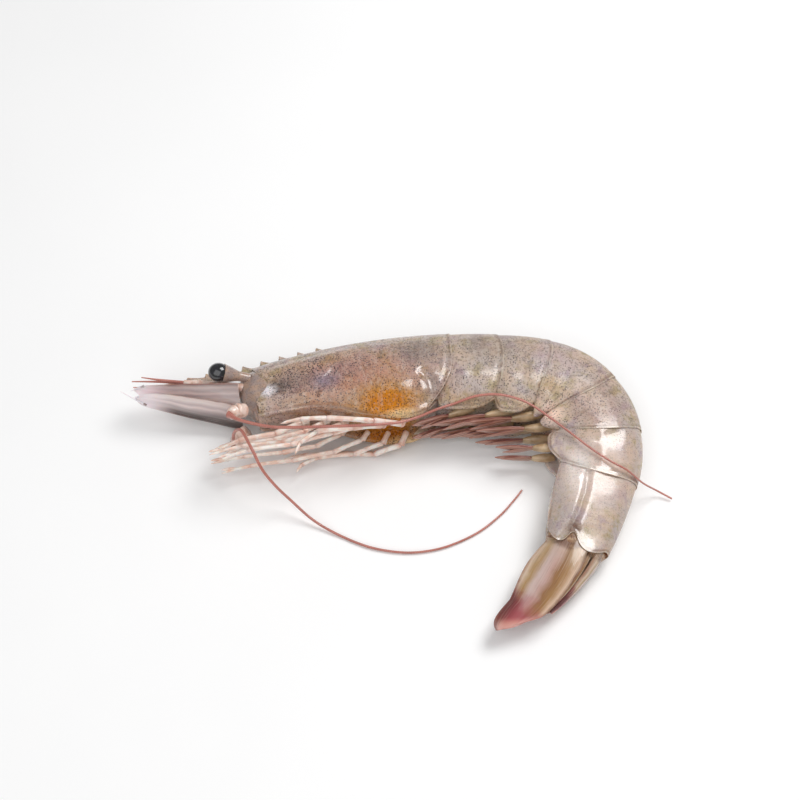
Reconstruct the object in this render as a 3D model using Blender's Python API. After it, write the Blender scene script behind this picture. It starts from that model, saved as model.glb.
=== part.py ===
"""A raw prawn, head on, curled up and lying on its right side.

Metres, +Z up, and z = 0 is the surface that it lies on. Seen from above, the head points to -X and the
back to +Y, and the abdomen curls round at +X until the tail fan points to -Y. The origin is under the
middle of the whole.

Spots on the body are given as s, back from the eye socket along the curled midline, dorsal, from the midline
towards the back, and left, from the middle plane towards the left flank, which faces up.
"""

import math

import bmesh
import bpy
from mathutils import Vector

# The midline from the eye socket back: section, length along it, turn towards the belly in degrees
SECTIONS = (
    ("cephalothorax", 0.0425, 5.0),
    ("abdomen_1", 0.0100, 4.0),
    ("abdomen_2", 0.0100, 10.0),
    ("abdomen_3", 0.0105, 42.0),
    ("abdomen_4", 0.0090, 30.0),
    ("abdomen_5", 0.0095, 22.0),
    ("abdomen_6", 0.0172, 6.0),
    ("tail_fan", 0.0240, 29.0),
)
SOCKET = (-0.0317, 0.0206)  # the eye socket, seen from above
HEAD_HEADING = 8.0  # degrees from +X, from head to tail, at the eye socket

# Share of the head shell's length: height above the midline, level of the widest point, the shell's edge
# below the midline, half width, and how far that edge hangs below the belly
HEAD_ROWS = (
    (-0.07, 0.0030, -0.0008, 0.0040, 0.0022, 0.0002),
    (-0.03, 0.0043, -0.0012, 0.0060, 0.0035, 0.0003),
    (0.00, 0.0052, -0.0017, 0.0082, 0.0045, 0.0004),
    (0.10, 0.0062, -0.0016, 0.0084, 0.0056, 0.0006),
    (0.25, 0.0072, -0.0016, 0.0086, 0.0067, 0.0008),
    (0.42, 0.0083, -0.0020, 0.0102, 0.0076, 0.0012),
    (0.55, 0.0090, -0.0024, 0.0120, 0.0080, 0.0018),
    (0.72, 0.0096, -0.0022, 0.0132, 0.0082, 0.0028),
    (0.88, 0.0099, -0.0014, 0.0132, 0.0080, 0.0034),
    (1.00, 0.0100, -0.0006, 0.0122, 0.0078, 0.0034),
)
# Rear edge of each abdomen section: height above the midline, depth of the belly below it, half width
ABDOMEN_ROWS = (
    (0, 0.0100, 0.0086, 0.0077),
    (1, 0.0100, 0.0086, 0.0077),
    (2, 0.0100, 0.0084, 0.0076),
    (3, 0.0099, 0.0082, 0.0074),
    (4, 0.0096, 0.0081, 0.0068),
    (5, 0.0089, 0.0078, 0.0058),
    (6, 0.0072, 0.0064, 0.0045),
)
WIDEST_LEVEL = -0.0006  # of the abdomen
# How far the side plates hang below the belly
SIDE_PLATE_DROPS = (0.0030, 0.0036, 0.0038, 0.0038, 0.0032, 0.0006)
SIDE_PLATE_THICKNESS = 0.0012
BELLY_BULGE = 0.0007
# A plate widens to its rear rim
PLATE_FLARE = ((0.0, 0.935), (0.12, 0.945), (0.32, 0.978), (0.9, 1.0), (1.0, 1.0))
RIM_BOW = 0.0013  # how far a plate's rear rim bows back at mid flank
# Forward sweep of the head shell's rear rim, in metres for each square metre below the midline
HEAD_RIM_SWEEP = 45.0
GAP = 0.0003  # between neighbouring pieces

# Middle plane above the surface, by section counted back from the eye socket
LIE_ROWS = (
    (0, 0.0079),
    (1, 0.0078),
    (2, 0.0074),
    (3, 0.0072),
    (4, 0.0068),
    (5, 0.0062),
    (6, 0.0052),
    (7, 0.0042),
    (8, 0.0032),
)

ROSTRUM_ROOT = 0.0180  # where its ridge starts on the back of the head shell
ROSTRUM_REACH = 0.0205  # ahead of the eye socket
ROSTRUM_TEETH = 8
ROSTRUM_TOOTH_HEIGHT = 0.0013
ROSTRUM_HALF_THICKNESS = 0.0009
ROSTRUM_DEPTH = 0.0016  # from its ridge down, at its root
ROSTRUM_BELLY = 0.0006  # how much deeper it is half way to its tip

EYE_RADIUS = 0.0023
EYE_CENTRE = (-0.0072, 0.0029, 0.0047)  # s, dorsal, left
EYE_STALK_ROOT = (-0.0028, 0.0026, 0.0031)
EYE_STALK_RADII = (0.0009, 0.0012, 0.0014)

SCALE_ROOT = -0.0034  # s
SCALE_LENGTH = 0.0225
# Share of its length: its inner and its outer edge, across from the middle plane
SCALE_ROWS = (
    (0.00, 0.0021, 0.0060),
    (0.15, 0.0002, 0.0053),
    (0.35, -0.0017, 0.0043),
    (0.60, -0.0022, 0.0032),
    (0.80, -0.0020, 0.0024),
    (0.92, -0.0013, 0.0018),
    (1.00, -0.0003, 0.0008),
)
SCALE_LEAN = math.radians(24.0)  # their plane's left edge is turned up towards the back
SCALE_HALF_THICKNESS = 0.00045

TAIL_BLADE_HALF_THICKNESS = 0.00045
TAIL_SLANT = 0.22  # how much further a tail blade reaches along its edge nearer to the belly, as a share
RIGHT_TAIL_SHARE = 0.78  # the right blades lie folded in under the left ones, and reach less far
# Each blade's middle and half width in degrees about the tail's axis, share of the arch, and length
TAIL_BLADES = {"inner": (64.0, 20.0, 0.76, 0.0138), "outer": (108.0, 46.0, 1.00, 0.0216)}
TAIL_ARCH = (0.0070, 0.0037)  # the folded fan's arch: half height and half width
TAIL_ROUND = 0.04  # how far its end bulges out in the middle, as a share
TAIL_SPREAD = 0.28  # how much further out a blade bulges along its edge nearer to the belly, as a share
TAIL_SPREAD_END = 0.7  # share of the blade's length over which it does
TAIL_CLOSE = 0.50  # how much thinner the folded fan is at its end, as a share
# How far the fan sinks in to its end, as shares: everywhere, and more towards the back
TAIL_DROOP = (0.14, 0.22)
TAIL_END_WIDTH = 0.52  # how wide a blade still is at its end, on the side of the back, as a share
TELSON_LENGTH = 0.0150
TELSON_HALF_WIDTH = 0.0024
TELSON_TOP = (0.0062, 0.0030)  # its back's height over the tail's axis, at its root and at its end
TELSON_THICKNESS = 0.0018

# Walking legs and mouth legs: s of the root on the underside, then each joint as (s, dorsal)
LEG_PATHS = {
    "mouth_leg": (0.0110, (0.0035, -0.0120), (-0.0045, -0.0126), (-0.0098, -0.0146)),
    "walking_leg_1": (0.0155, (0.0098, -0.0130), (0.0030, -0.0142), (-0.0030, -0.0146), (-0.0074, -0.0162)),
    "walking_leg_2": (0.0195, (0.0122, -0.0146), (0.0046, -0.0158), (-0.0040, -0.0156), (-0.0110, -0.0168)),
    "walking_leg_3": (0.0240, (0.0160, -0.0156), (0.0066, -0.0174), (-0.0028, -0.0176), (-0.0090, -0.0192)),
    "walking_leg_4": (0.0285, (0.0205, -0.0156), (0.0125, -0.0156), (0.0085, -0.0180), (0.0072, -0.0206)),
    "walking_leg_5": (0.0325, (0.0250, -0.0150), (0.0150, -0.0134), (0.0092, -0.0130), (0.0048, -0.0136)),
}
RIGHT_LEG_HANG = 0.62  # the right legs hang less far below the belly, as a share of the left ones
LEG_LANE_FIRST = 0.0010  # distance of the innermost leg from the middle plane
LEG_LANE_STEPS = {1: 0.0013, -1: 0.00115}  # from leg to leg, on the left side and on the right
LEG_RADII = (0.00058, 0.00056, 0.00052, 0.00044, 0.00026)
PINCER_LENGTH = 0.0030
THUMB_RADII = (0.0003, 0.00032, 0.00014)

# Swimmerets: stalk length, blade length, swing from straight down towards the head, half width
SWIMMERETS = (
    (0.0052, 0.0082, 71.0, 0.0015),
    (0.0060, 0.0120, 70.0, 0.0015),
    (0.0060, 0.0115, 50.0, 0.0014),
    (0.0056, 0.0104, 17.0, 0.0012),
    (0.0046, 0.0080, -5.0, 0.0010),
)
SWIMMERET_SHARE = 0.45  # of the section's length, at the root
SWIMMERET_LEFT = 0.34  # root from the middle plane, as a share of the half width
BLADE_LIFT = 4.0  # degrees that the blades bend up from the stalks

ANTENNA_RADII = (0.0016, 0.0017, 0.0012, 0.00042)  # the stout base, up to where the whip leaves it
ANTENNA_TIP_RADIUS = 0.00023
ANTENNA_BASE = ((-0.0024, -0.0066, 0.0032), (-0.0044, -0.0073, 0.0044), (-0.0058, -0.0083, 0.0050))
RIGHT_BASE_DROP = 0.0012  # the right feeler's base lies further from the back, below the scale
WHIP_POINTS = 52

SECTION_START = [sum(row[1] for row in SECTIONS[:i]) for i in range(len(SECTIONS) + 1)]
HEAD_LENGTH = SECTIONS[0][1]
TAIL_START = SECTION_START[7]
TAIL_LENGTH = SECTIONS[7][1]


def along_arc(x, y, heading, bend, distance):
    """Where an arc that turns by bend radians a metre has come to, and its heading there."""
    if abs(bend) < 1e-6:
        return x + math.cos(heading) * distance, y + math.sin(heading) * distance, heading
    end = heading + bend * distance
    return (
        x + (math.sin(end) - math.sin(heading)) / bend,
        y - (math.cos(end) - math.cos(heading)) / bend,
        end,
    )


def midline_arcs():
    """Start s, x, y, heading and bend of each section's arc, from the head back."""
    arcs = []
    x, y, heading = SOCKET[0], SOCKET[1], math.radians(HEAD_HEADING)
    for start, (_, length, turn) in zip(SECTION_START, SECTIONS):
        bend = -math.radians(turn) / length
        arcs.append((start, x, y, heading, bend))
        x, y, heading = along_arc(x, y, heading, bend, length)
    return arcs


ARCS = midline_arcs()


def midline(s):
    """x, y and heading of the midline at s. Ahead of the eye socket it runs straight on."""
    if s < 0:
        return along_arc(*ARCS[0][1:4], 0.0, s)
    start, x, y, heading, bend = [arc for arc in ARCS if arc[0] <= s][-1]
    return along_arc(x, y, heading, bend, s - start)


def smooth_rows(rows, x):
    """The values at x on a smooth curve through rows of (x, value, value...), level past both ends."""
    if x <= rows[0][0]:
        return rows[0][1:]
    if x >= rows[-1][0]:
        return rows[-1][1:]
    i = max(k for k in range(len(rows) - 1) if rows[k][0] <= x)
    before, low, high, after = rows[max(i - 1, 0)], rows[i], rows[i + 1], rows[min(i + 2, len(rows) - 1)]
    span = high[0] - low[0]
    t = (x - low[0]) / span
    found = []
    for a, b, c, d in zip(before[1:], low[1:], high[1:], after[1:]):
        leave = (c - a) / (high[0] - before[0]) * span
        arrive = (d - b) / (after[0] - low[0]) * span
        found.append(
            (2 * t**3 - 3 * t**2 + 1) * b
            + (t**3 - 2 * t**2 + t) * leave
            + (3 * t**2 - 2 * t**3) * c
            + (t**3 - t**2) * arrive
        )
    return tuple(found)


def lie_height(s):
    """Height of the middle plane above the surface."""
    i = max([k for k in range(len(SECTIONS)) if SECTION_START[k] <= s] or [0])
    return smooth_rows(LIE_ROWS, i + (s - SECTION_START[i]) / SECTIONS[i][1])[0]


def place(s, dorsal, left):
    """The world point of a spot on the body."""
    x, y, heading = midline(s)
    return Vector((x - math.sin(heading) * dorsal, y + math.cos(heading) * dorsal, lie_height(s) + left))


def place_on_surface(s, dorsal, left):
    """The same, with what would sink into the surface pressed flat on it."""
    point = place(s, dorsal, left)
    point.z = max(point.z, 0.0)
    return point


def rim_bow(number, dorsal):
    """How far back the rear rim of a section's plate lies at this height on the flank."""
    if number == 0:
        return 0.0006 - HEAD_RIM_SWEEP * min(dorsal, 0.0) ** 2
    return RIM_BOW * (1.0 - (dorsal / 0.0085) ** 2)


# Body shells

UPPER_STEPS = 7
BELLY_LEVEL = UPPER_STEPS + 3  # the ring point of the outer flank that is level with the belly


def shell_ring(top, level, belly, half_width, drop):
    """Left half of a cross-section: mid back, flank, round the side plate's edge, mid belly."""
    depth = belly + drop
    points = []
    for i in range(UPPER_STEPS + 1):
        angle = math.pi / 2 * i / UPPER_STEPS
        points.append((level + (top - level) * math.cos(angle), half_width * math.sin(angle) ** 1.08))
    for down in (0.45 * belly, 0.8 * belly, belly, belly + 0.6 * drop, depth):
        below = (down + level) / (depth + level)
        points.append((-down, half_width * (1.0 - 0.30 * max(below, 0.0) ** 2.4)))
    tip = points[-1][1]
    points.append((-(belly + 0.85 * drop), tip - SIDE_PLATE_THICKNESS * 0.8))
    points.append((-belly, tip - SIDE_PLATE_THICKNESS))
    points.append((-(belly + 0.75 * BELLY_BULGE), tip * 0.45))
    points.append((-(belly + BELLY_BULGE), 0.0))
    return points


def shell_cap(bm, ring, half_count):
    """Closes a shell's end: rungs from flank to flank, then the belly and the two side plates."""
    left = ring[:half_count]
    right = [ring[0]] + ring[: half_count - 2 : -1]
    bm.faces.new((left[0], left[1], right[1]))
    for i in range(1, BELLY_LEVEL):
        bm.faces.new((left[i], left[i + 1], right[i + 1], right[i]))
    inner = BELLY_LEVEL + 4
    across = left[inner:] + right[inner : half_count - 1][::-1]
    bm.faces.new([left[BELLY_LEVEL], *across, right[BELLY_LEVEL]])
    for side in (left, right):
        bm.faces.new(side[BELLY_LEVEL : inner + 1])


def body_shell(name, material, number, stations):
    """A closed body section through stations of (share, s, ring), each ring a left half."""
    bm = bmesh.new()
    rings = []
    for share, s, half in stations:
        whole = half + [(dorsal, -left) for dorsal, left in half[-2:0:-1]]
        ring = []
        for dorsal, left in whole:
            if number == 0:
                bow = max(share, 0.0) ** 4 * rim_bow(0, dorsal)
            else:
                bow = (1.0 - share) * rim_bow(number - 1, dorsal) + share * rim_bow(number, dorsal)
            ring.append(bm.verts.new(place_on_surface(s + bow, dorsal, left)))
        rings.append(ring)
    join_rings(bm, rings)
    for ring in (rings[0], rings[-1]):
        shell_cap(bm, ring, len(stations[0][2]))
    return finished(name, bm, material)


def head_section(share):
    """Height, widest level, belly depth, half width and edge drop of the head shell."""
    top, level, edge, half_width, drop = smooth_rows(HEAD_ROWS, share)
    return top, level, edge - drop, half_width, drop


# Shares of a section's length that have a cross-section of their own
HEAD_STATIONS = (-0.07, -0.06, -0.04, -0.02, 0.0, 0.03, 0.06, 0.1, 0.16, 0.22, 0.28, 0.34, 0.4, 0.46,
                 0.52, 0.58, 0.64, 0.7, 0.76, 0.82, 0.88, 0.94, 1.0)
PLATE_STATIONS = (0.0, 0.1, 0.25, 0.45, 0.65, 0.82, 0.93, 1.0)


def head_shell(material):
    stations = []
    for share in HEAD_STATIONS:
        s = share * HEAD_LENGTH - GAP / 2 * (share == 1.0)
        stations.append((share, s, shell_ring(*head_section(share))))
    shell = body_shell("cephalothorax", material, 0, stations)
    return fuse(shell, [rostrum(material)])


def abdomen_shell(number, material):
    """One ring of the abdomen: its plate widens to the rear rim, and its side plates have round corners."""
    start, length = SECTION_START[number], SECTIONS[number][1]
    drop = SIDE_PLATE_DROPS[number - 1]
    stations = []
    for share in PLATE_STATIONS:
        top, belly, half_width = smooth_rows(ABDOMEN_ROWS, number - 1 + share)
        flare = smooth_rows(PLATE_FLARE, share)[0]
        corner = 0.12 + 0.88 * (1.0 - abs(2.0 * share - 1.0) ** 3.2)
        ring = shell_ring(top * flare, WIDEST_LEVEL, belly, half_width * flare, drop * corner)
        stations.append((share, start + GAP / 2 + share * (length - GAP), ring))
    return body_shell(SECTIONS[number][0], material, number, stations)


def rostrum(material):
    """The saw-toothed spike over the eyes, a thin blade that grows out of the ridge of the back."""
    pitch = (ROSTRUM_ROOT + ROSTRUM_REACH - 0.006) / ROSTRUM_TEETH
    stations = []
    for i in range(ROSTRUM_TEETH):
        back = ROSTRUM_ROOT - i * pitch
        stations += [(back, 0.1), (back - 0.55 * pitch, 0.55), (back - 0.94 * pitch, 1.0)]
    stations += [(-ROSTRUM_REACH + 0.0058, 0.1), (-ROSTRUM_REACH, 0.0)]
    bm = bmesh.new()
    rings = []
    for s, tooth in stations:
        share = max(s, 0.0) / HEAD_LENGTH
        ridge = smooth_rows(HEAD_ROWS, share)[0] if s > 0 else HEAD_ROWS[2][1] + 0.04 * s
        ahead = max(0.0, -s) / ROSTRUM_REACH
        slim = 1.0 - 0.75 * ahead
        depth = ROSTRUM_DEPTH + ROSTRUM_BELLY * math.sin(math.pi * ahead)
        foot = ridge - depth * slim
        tip = ridge + 0.0002 * slim + ROSTRUM_TOOTH_HEIGHT * tooth * slim
        half = ROSTRUM_HALF_THICKNESS * slim
        corners = ((foot, half), (ridge - 0.0004 * slim, half), (tip, half * 0.3))
        ring = corners + tuple((dorsal, -left) for dorsal, left in corners[::-1])
        rings.append([bm.verts.new(place(s, dorsal, left)) for dorsal, left in ring])
    join_rings(bm, rings)
    for ring in (rings[0], rings[-1]):
        bm.faces.new(ring)
    return finished("rostrum", bm, material)


# Thin blades: antennal scales and tail fan

BLADE_STATIONS = (0.0, 0.06, 0.14, 0.26, 0.4, 0.55, 0.7, 0.82, 0.91, 0.97, 1.0)


def leaf_width(t, widest, root=0.42, blunt=2.3, end=0.16):
    """Half width of a leaf, as a share of the greatest: its root, how blunt its tip is, its end."""
    if t < widest:
        return root + (1.0 - root) * math.sin(math.pi / 2 * t / widest)
    return max(end, math.sqrt(1.0 - ((t - widest) / (1.0 - widest)) ** blunt))


def blade(name, material, spot, across=4):
    """A thin leaf. spot gives the world point t along it, x across it from -1 to 1, on side 1 or -1."""
    bm = bmesh.new()
    rings = []
    row = [2.0 * i / across - 1.0 for i in range(across + 1)]
    for t in BLADE_STATIONS:
        ring = [spot(t, x, 1) for x in row] + [spot(t, x, -1) for x in reversed(row)]
        rings.append([bm.verts.new(point) for point in ring])
    join_rings(bm, rings)
    last = 2 * across + 1
    for ring in (rings[0], rings[-1]):
        for i in range(across):
            bm.faces.new((ring[i], ring[i + 1], ring[last - i - 1], ring[last - i]))
    return finished(name, bm, material)


def antennal_scale(name, side, material):
    """A blade beside the feelers. The two lean in until they cross, the right one under the left one."""

    def spot(t, x, face):
        s = SCALE_ROOT - t * SCALE_LENGTH
        inner, outer = smooth_rows(SCALE_ROWS, t)
        aside = (inner + outer) / 2 + x * (outer - inner) / 2
        thick = SCALE_HALF_THICKNESS * (1.0 - 0.45 * x * x) * (1.0 - 0.4 * t)
        above = -0.0030 + 0.0062 * t + side * (0.0002 + 0.0007 * min(1.0, 2.0 * t)) - 0.0006 * x * x
        across = side * aside
        dorsal = above + across * math.sin(SCALE_LEAN) + face * thick * math.cos(SCALE_LEAN)
        left = across * math.cos(SCALE_LEAN) - face * thick * math.sin(SCALE_LEAN)
        return place(s, dorsal, left)

    return blade(name, material, spot)


def tail_blade(name, material, side, centre_deg, half_deg, layer, length):
    """One blade of the folded fan, on an arch about the tail's axis, centre_deg round from the back.

    Its end is cut aslant: the edge nearer to the belly reaches further.
    """

    def spot(t, x, face):
        wide = leaf_width(t, 0.65, 0.9, 2.8) if x > 0 else leaf_width(t, 0.6, 0.9, 3.5, TAIL_END_WIDTH)
        angle = side * math.radians(centre_deg + x * half_deg * wide)
        thick = TAIL_BLADE_HALF_THICKNESS * (1.0 - 0.4 * x * x) * (1.0 - 0.35 * t)
        droop = 1.0 - (TAIL_DROOP[0] + TAIL_DROOP[1] * (1.0 - x) / 2.0) * t
        bulge = 1.0 + TAIL_SPREAD * (x + 1.0) / 2.0 * math.sin(math.pi * min(t / TAIL_SPREAD_END, 1.0))
        dorsal = 0.0003 + (TAIL_ARCH[0] * bulge * layer + face * thick) * math.cos(angle) * droop
        left = (TAIL_ARCH[1] * layer + face * thick) * math.sin(angle) * (1.0 - TAIL_CLOSE * t**1.5)
        reach = length * (1.0 + TAIL_SLANT * (x + 1.0) / 2.0 + TAIL_ROUND * (1.0 - x * x))
        reach *= 1.0 if side > 0 else RIGHT_TAIL_SHARE
        s = TAIL_START + GAP + 0.0001 + t * reach
        return place(s + rim_bow(6, dorsal) * (1.0 - t), dorsal, left)

    return blade(name, material, spot)


def telson(material):
    """The tail's pointed mid piece: a tapering wedge with a shallow groove down its back."""
    bm = bmesh.new()
    rings = []
    for t in (0.0, 0.08, 0.25, 0.45, 0.65, 0.82, 0.94, 1.0):
        half_width = TELSON_HALF_WIDTH * (1.0 - 0.84 * t**1.25)
        top = TELSON_TOP[0] + (TELSON_TOP[1] - TELSON_TOP[0]) * t
        thick = TELSON_THICKNESS * (1.0 - 0.6 * t)
        half = ((top - 0.16 * thick, 0.0), (top, half_width * 0.42), (top - 0.45 * thick, half_width),
                (top - thick, half_width * 0.55))
        whole = list(half) + [(dorsal, -left) for dorsal, left in half[:0:-1]]
        s = TAIL_START + GAP + 0.0001 + t * TELSON_LENGTH
        rings.append([bm.verts.new(place(s + rim_bow(6, d) * (1.0 - t), d, w)) for d, w in whole])
    join_rings(bm, rings)
    for ring in (rings[0], rings[-1]):
        bm.faces.new(ring)
    return finished("telson", bm, material)


# Limbs


def limb(name, material, points, across, through, sides=8):
    """A limb along world points: across is its half size up and down, through the one sideways."""
    bm = bmesh.new()
    rings = []
    for i, point in enumerate(points):
        run = points[min(i + 1, len(points) - 1)] - points[max(i - 1, 0)]
        sideways = Vector((-run.y, run.x, 0.0)).normalized()
        ring = []
        for k in range(sides):
            angle = 2.0 * math.pi * (k + 0.5) / sides
            up = Vector((0.0, 0.0, math.sin(angle) * across[i]))
            ring.append(bm.verts.new(point + up + sideways * (math.cos(angle) * through[i])))
        rings.append(ring)
    join_rings(bm, rings)
    for ring in (rings[0], rings[-1]):
        bm.faces.new(ring)
    return finished(name, bm, material)


def leg_path(kind, side, lane):
    """World points of a leg: from the belly, under the shell's edge, and out to its own lane."""
    root, *joints = LEG_PATHS[kind]
    reach = LEG_LANE_FIRST + lane * LEG_LANE_STEPS[side]
    belly, drop = [head_section(root / HEAD_LENGTH)[i] for i in (2, 4)]
    base = -(belly + BELLY_BULGE + GAP + LEG_RADII[0])
    under = -(belly + drop + 0.0012)
    inner = max(reach * 0.42, LEG_RADII[0] + GAP)
    points = [place(root, base, side * inner), place(root - 0.0015, under, side * max(reach * 0.6, inner))]
    for s, dorsal in joints:
        hang = under + (dorsal - under) * (1.0 if side > 0 else RIGHT_LEG_HANG)
        points.append(place(s, hang, side * reach))
    return points


def knuckled(points, radii):
    """The path and radii of a jointed limb, with a slight knuckle at each joint."""
    path, sizes = [points[0]], [radii[0]]
    for i in range(1, len(points)):
        middle = points[i - 1].lerp(points[i], 0.5)
        path += [middle, points[i]]
        sizes += [0.5 * (radii[i - 1] + radii[i]) * 0.92, radii[i]]
    return path, sizes


def leg(kind, side, lane, material):
    name = f"{kind}_{'left' if side > 0 else 'right'}"
    points = leg_path(kind, side, lane)
    path, radii = knuckled(points, LEG_RADII[:1] * (len(points) - 4) + LEG_RADII[-4:])
    shaft = limb(name, material, path, radii, radii, sides=6)
    if kind not in ("walking_leg_1", "walking_leg_2", "walking_leg_3"):
        return shaft
    end, back = points[-1], (points[-2] - points[-1]).normalized()
    aside = Vector((-back.y, back.x, 0.0)) * 0.0006
    thumb = [end + back * PINCER_LENGTH * 1.25, end + back * PINCER_LENGTH * 0.6 + aside, end + aside * 1.3]
    finger = limb("thumb", material, thumb, THUMB_RADII, THUMB_RADII, sides=5)
    return fuse(shaft, [finger])


def swimmeret(number, side, material):
    """A swimming leg under the abdomen: a stout stalk and a long flat blade that lies forward."""
    stalk, length, swing, half_width = SWIMMERETS[number - 1]
    name = f"swimmeret_{number}_{'left' if side > 0 else 'right'}"
    s = SECTION_START[number] + SWIMMERET_SHARE * SECTIONS[number][1]
    _, belly, flank = smooth_rows(ABDOMEN_ROWS, number - 1 + SWIMMERET_SHARE)
    root = place(s, -(belly + BELLY_BULGE + GAP + 0.0011), side * SWIMMERET_LEFT * flank)
    down = midline(s)[2] - math.pi / 2
    directions = []
    for angle in (down - math.radians(swing), down - math.radians(swing + BLADE_LIFT)):
        directions.append(Vector((math.cos(angle), math.sin(angle), 0.0)))
    towards, beyond = directions
    stalk_points = [root + towards * stalk * t for t in (0.0, 0.35, 0.75, 1.1)]
    stalk_wide = [half_width * share for share in (0.72, 1.0, 0.85, 0.45)]
    base = limb(name, material, stalk_points, stalk_wide, (0.0008, 0.0010, 0.0008, 0.0005))
    blade_points = [root + towards * stalk + beyond * length * t for t in (-0.06, 0.12, 0.4, 0.7, 0.9, 1.0)]
    blade_wide = [half_width * share for share in (0.45, 0.85, 1.0, 0.85, 0.5, 0.2)]
    blade_thin = (0.0004, 0.00042, 0.00038, 0.0003, 0.00024, 0.0002)
    return fuse(base, [limb("blade", material, blade_points, blade_wide, blade_thin)])


# Head pieces


def eye(name, side, material):
    """A round eye on a short stalk, beside the root of the rostrum."""
    s, dorsal, left = EYE_CENTRE
    bm = bmesh.new()
    bmesh.ops.create_uvsphere(bm, u_segments=12, v_segments=8, radius=EYE_RADIUS)
    ball = finished(name, bm, material)
    ball.scale = (1.0, 0.92, 0.86)
    ball.location = place(s, dorsal, side * left)
    root = place(EYE_STALK_ROOT[0], EYE_STALK_ROOT[1], side * EYE_STALK_ROOT[2])
    centre = ball.location.copy()
    points = [root, root.lerp(centre, 0.5), centre]
    stalk = limb("stalk", material, points, EYE_STALK_RADII, EYE_STALK_RADII)
    return fuse(ball, [stalk])


def smooth_route(points, count):
    """Points spread evenly along the smooth curve through the given ones."""
    fine = []
    for i in range(len(points) - 1):
        a, b, c, d = points[max(i - 1, 0)], points[i], points[i + 1], points[min(i + 2, len(points) - 1)]
        for k in range(20):
            t = k / 20
            fine.append(0.5 * ((2 * b) + (c - a) * t + (2 * a - 5 * b + 4 * c - d) * t**2
                               + (3 * b - a - 3 * c + d) * t**3))
    fine.append(points[-1])
    lengths = [0.0]
    for a, b in zip(fine, fine[1:]):
        lengths.append(lengths[-1] + (b - a).length)
    route = []
    for k in range(count):
        target = lengths[-1] * k / (count - 1)
        i = max(j for j in range(len(fine) - 1) if lengths[j] <= target + 1e-12)
        share = (target - lengths[i]) / max(lengths[i + 1] - lengths[i], 1e-9)
        route.append(fine[i].lerp(fine[i + 1], min(share, 1.0)))
    return route


def tube(name, material, points, radii, resolution=1):
    """A tapering tube: a curve with a round bevel and filled ends."""
    curve = bpy.data.curves.new(name, "CURVE")
    curve.dimensions = "3D"
    curve.bevel_depth = 1.0
    curve.bevel_resolution = resolution
    curve.use_fill_caps = True
    spline = curve.splines.new("POLY")
    spline.points.add(len(points) - 1)
    for spot, point, radius in zip(spline.points, points, radii):
        spot.co = (*point, 1.0)
        spot.radius = radius
    curve.materials.append(material)
    obj = bpy.data.objects.new(name, curve)
    bpy.context.scene.collection.objects.link(obj)
    return obj


def beside(x, y, z):
    """A point x and y from the eye socket, seen from above, and z above the surface."""
    return Vector((SOCKET[0] + x, SOCKET[1] + y, z))


def on_flank(s, dorsal, lift=0.0009):
    """A point resting on the left flank."""
    number = max(k for k in range(7) if SECTION_START[k] <= s)
    share = (s - SECTION_START[number]) / SECTIONS[number][1]
    if number == 0:
        top, level, belly, half_width, drop = head_section(share)
    else:
        top, belly, half_width = smooth_rows(ABDOMEN_ROWS, number - 1 + share)
        level, drop = WIDEST_LEVEL, SIDE_PLATE_DROPS[number - 1]
    if dorsal > level:
        left = half_width * math.sqrt(max(0.0, 1.0 - ((dorsal - level) / (top - level)) ** 2))
    else:
        left = half_width * (1.0 - 0.30 * min(1.0, (level - dorsal) / (belly + drop + level)) ** 2.4)
    return place(s, dorsal, left + lift)


def left_whip_route():
    """The left feeler lies back over the legs and the flank, and off the back on to the surface."""
    over_legs = ((-0.0040, -0.0106, 0.0062), (0.0020, -0.0136, 0.0070), (0.0080, -0.0150, 0.0077),
                 (0.0156, -0.0158, 0.0080), (0.0233, -0.0166, 0.0086), (0.0300, -0.0158, 0.0074),
                 (0.0345, -0.0143, 0.0066))
    over_flank = ((0.0389, -0.0126), (0.0430, -0.0112), (0.0478, -0.0098), (0.0526, -0.0094),
                  (0.0577, -0.0099), (0.0619, -0.0108), (0.0758, -0.0106), (0.0841, -0.0074),
                  (0.0889, -0.0024), (0.0908, 0.0020))
    off_back = ((0.0913, 0.0060, 0.0052), (0.0910, 0.0098, 0.0006), (0.0902, 0.0132, -0.0036),
                (0.0906, 0.0166, -0.0046))
    return (
        [place(*spot) for spot in over_legs]
        + [on_flank(*spot) for spot in over_flank]
        + [place(*spot) for spot in off_back]
    )


def right_whip_route():
    """The right feeler arches over the left legs to the surface, and bows back in."""
    under_head = ((-0.0058, -0.0104, -0.0020), (-0.0054, -0.0108, 0.0014), (-0.0044, -0.0118, 0.0042))
    in_air = ((-0.0015, -0.0140, 0.0136), (0.0006, -0.0184, 0.0142), (0.0027, -0.0217, 0.0115),
              (0.0053, -0.0236, 0.0080), (0.0083, -0.0249, 0.0042), (0.0133, -0.0284, 0.0014))
    on_surface = ((0.0189, -0.0315), (0.0253, -0.0343), (0.0317, -0.0355), (0.0369, -0.0353),
                  (0.0422, -0.0339), (0.0482, -0.0308), (0.0530, -0.0267), (0.0561, -0.0230),
                  (0.0579, -0.0205))
    return (
        [place(*spot) for spot in under_head]
        + [beside(*spot) for spot in in_air]
        + [beside(x, y, ANTENNA_RADII[3]) for x, y in on_surface]
    )


def antenna(name, side, route, material):
    """A feeler: a stout base joint, and a long whip that tapers to its end."""
    lower = 0.0 if side > 0 else RIGHT_BASE_DROP
    base = [place(s, dorsal - lower, side * left) for s, dorsal, left in ANTENNA_BASE]
    whip = smooth_route([base[-1]] + route, WHIP_POINTS)[1:]
    thinning = (ANTENNA_TIP_RADIUS - ANTENNA_RADII[3]) / len(whip)
    taper = [ANTENNA_RADII[3] + thinning * i for i in range(len(whip))]
    return tube(name, material, base + whip, list(ANTENNA_RADII[:3]) + taper)


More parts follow.
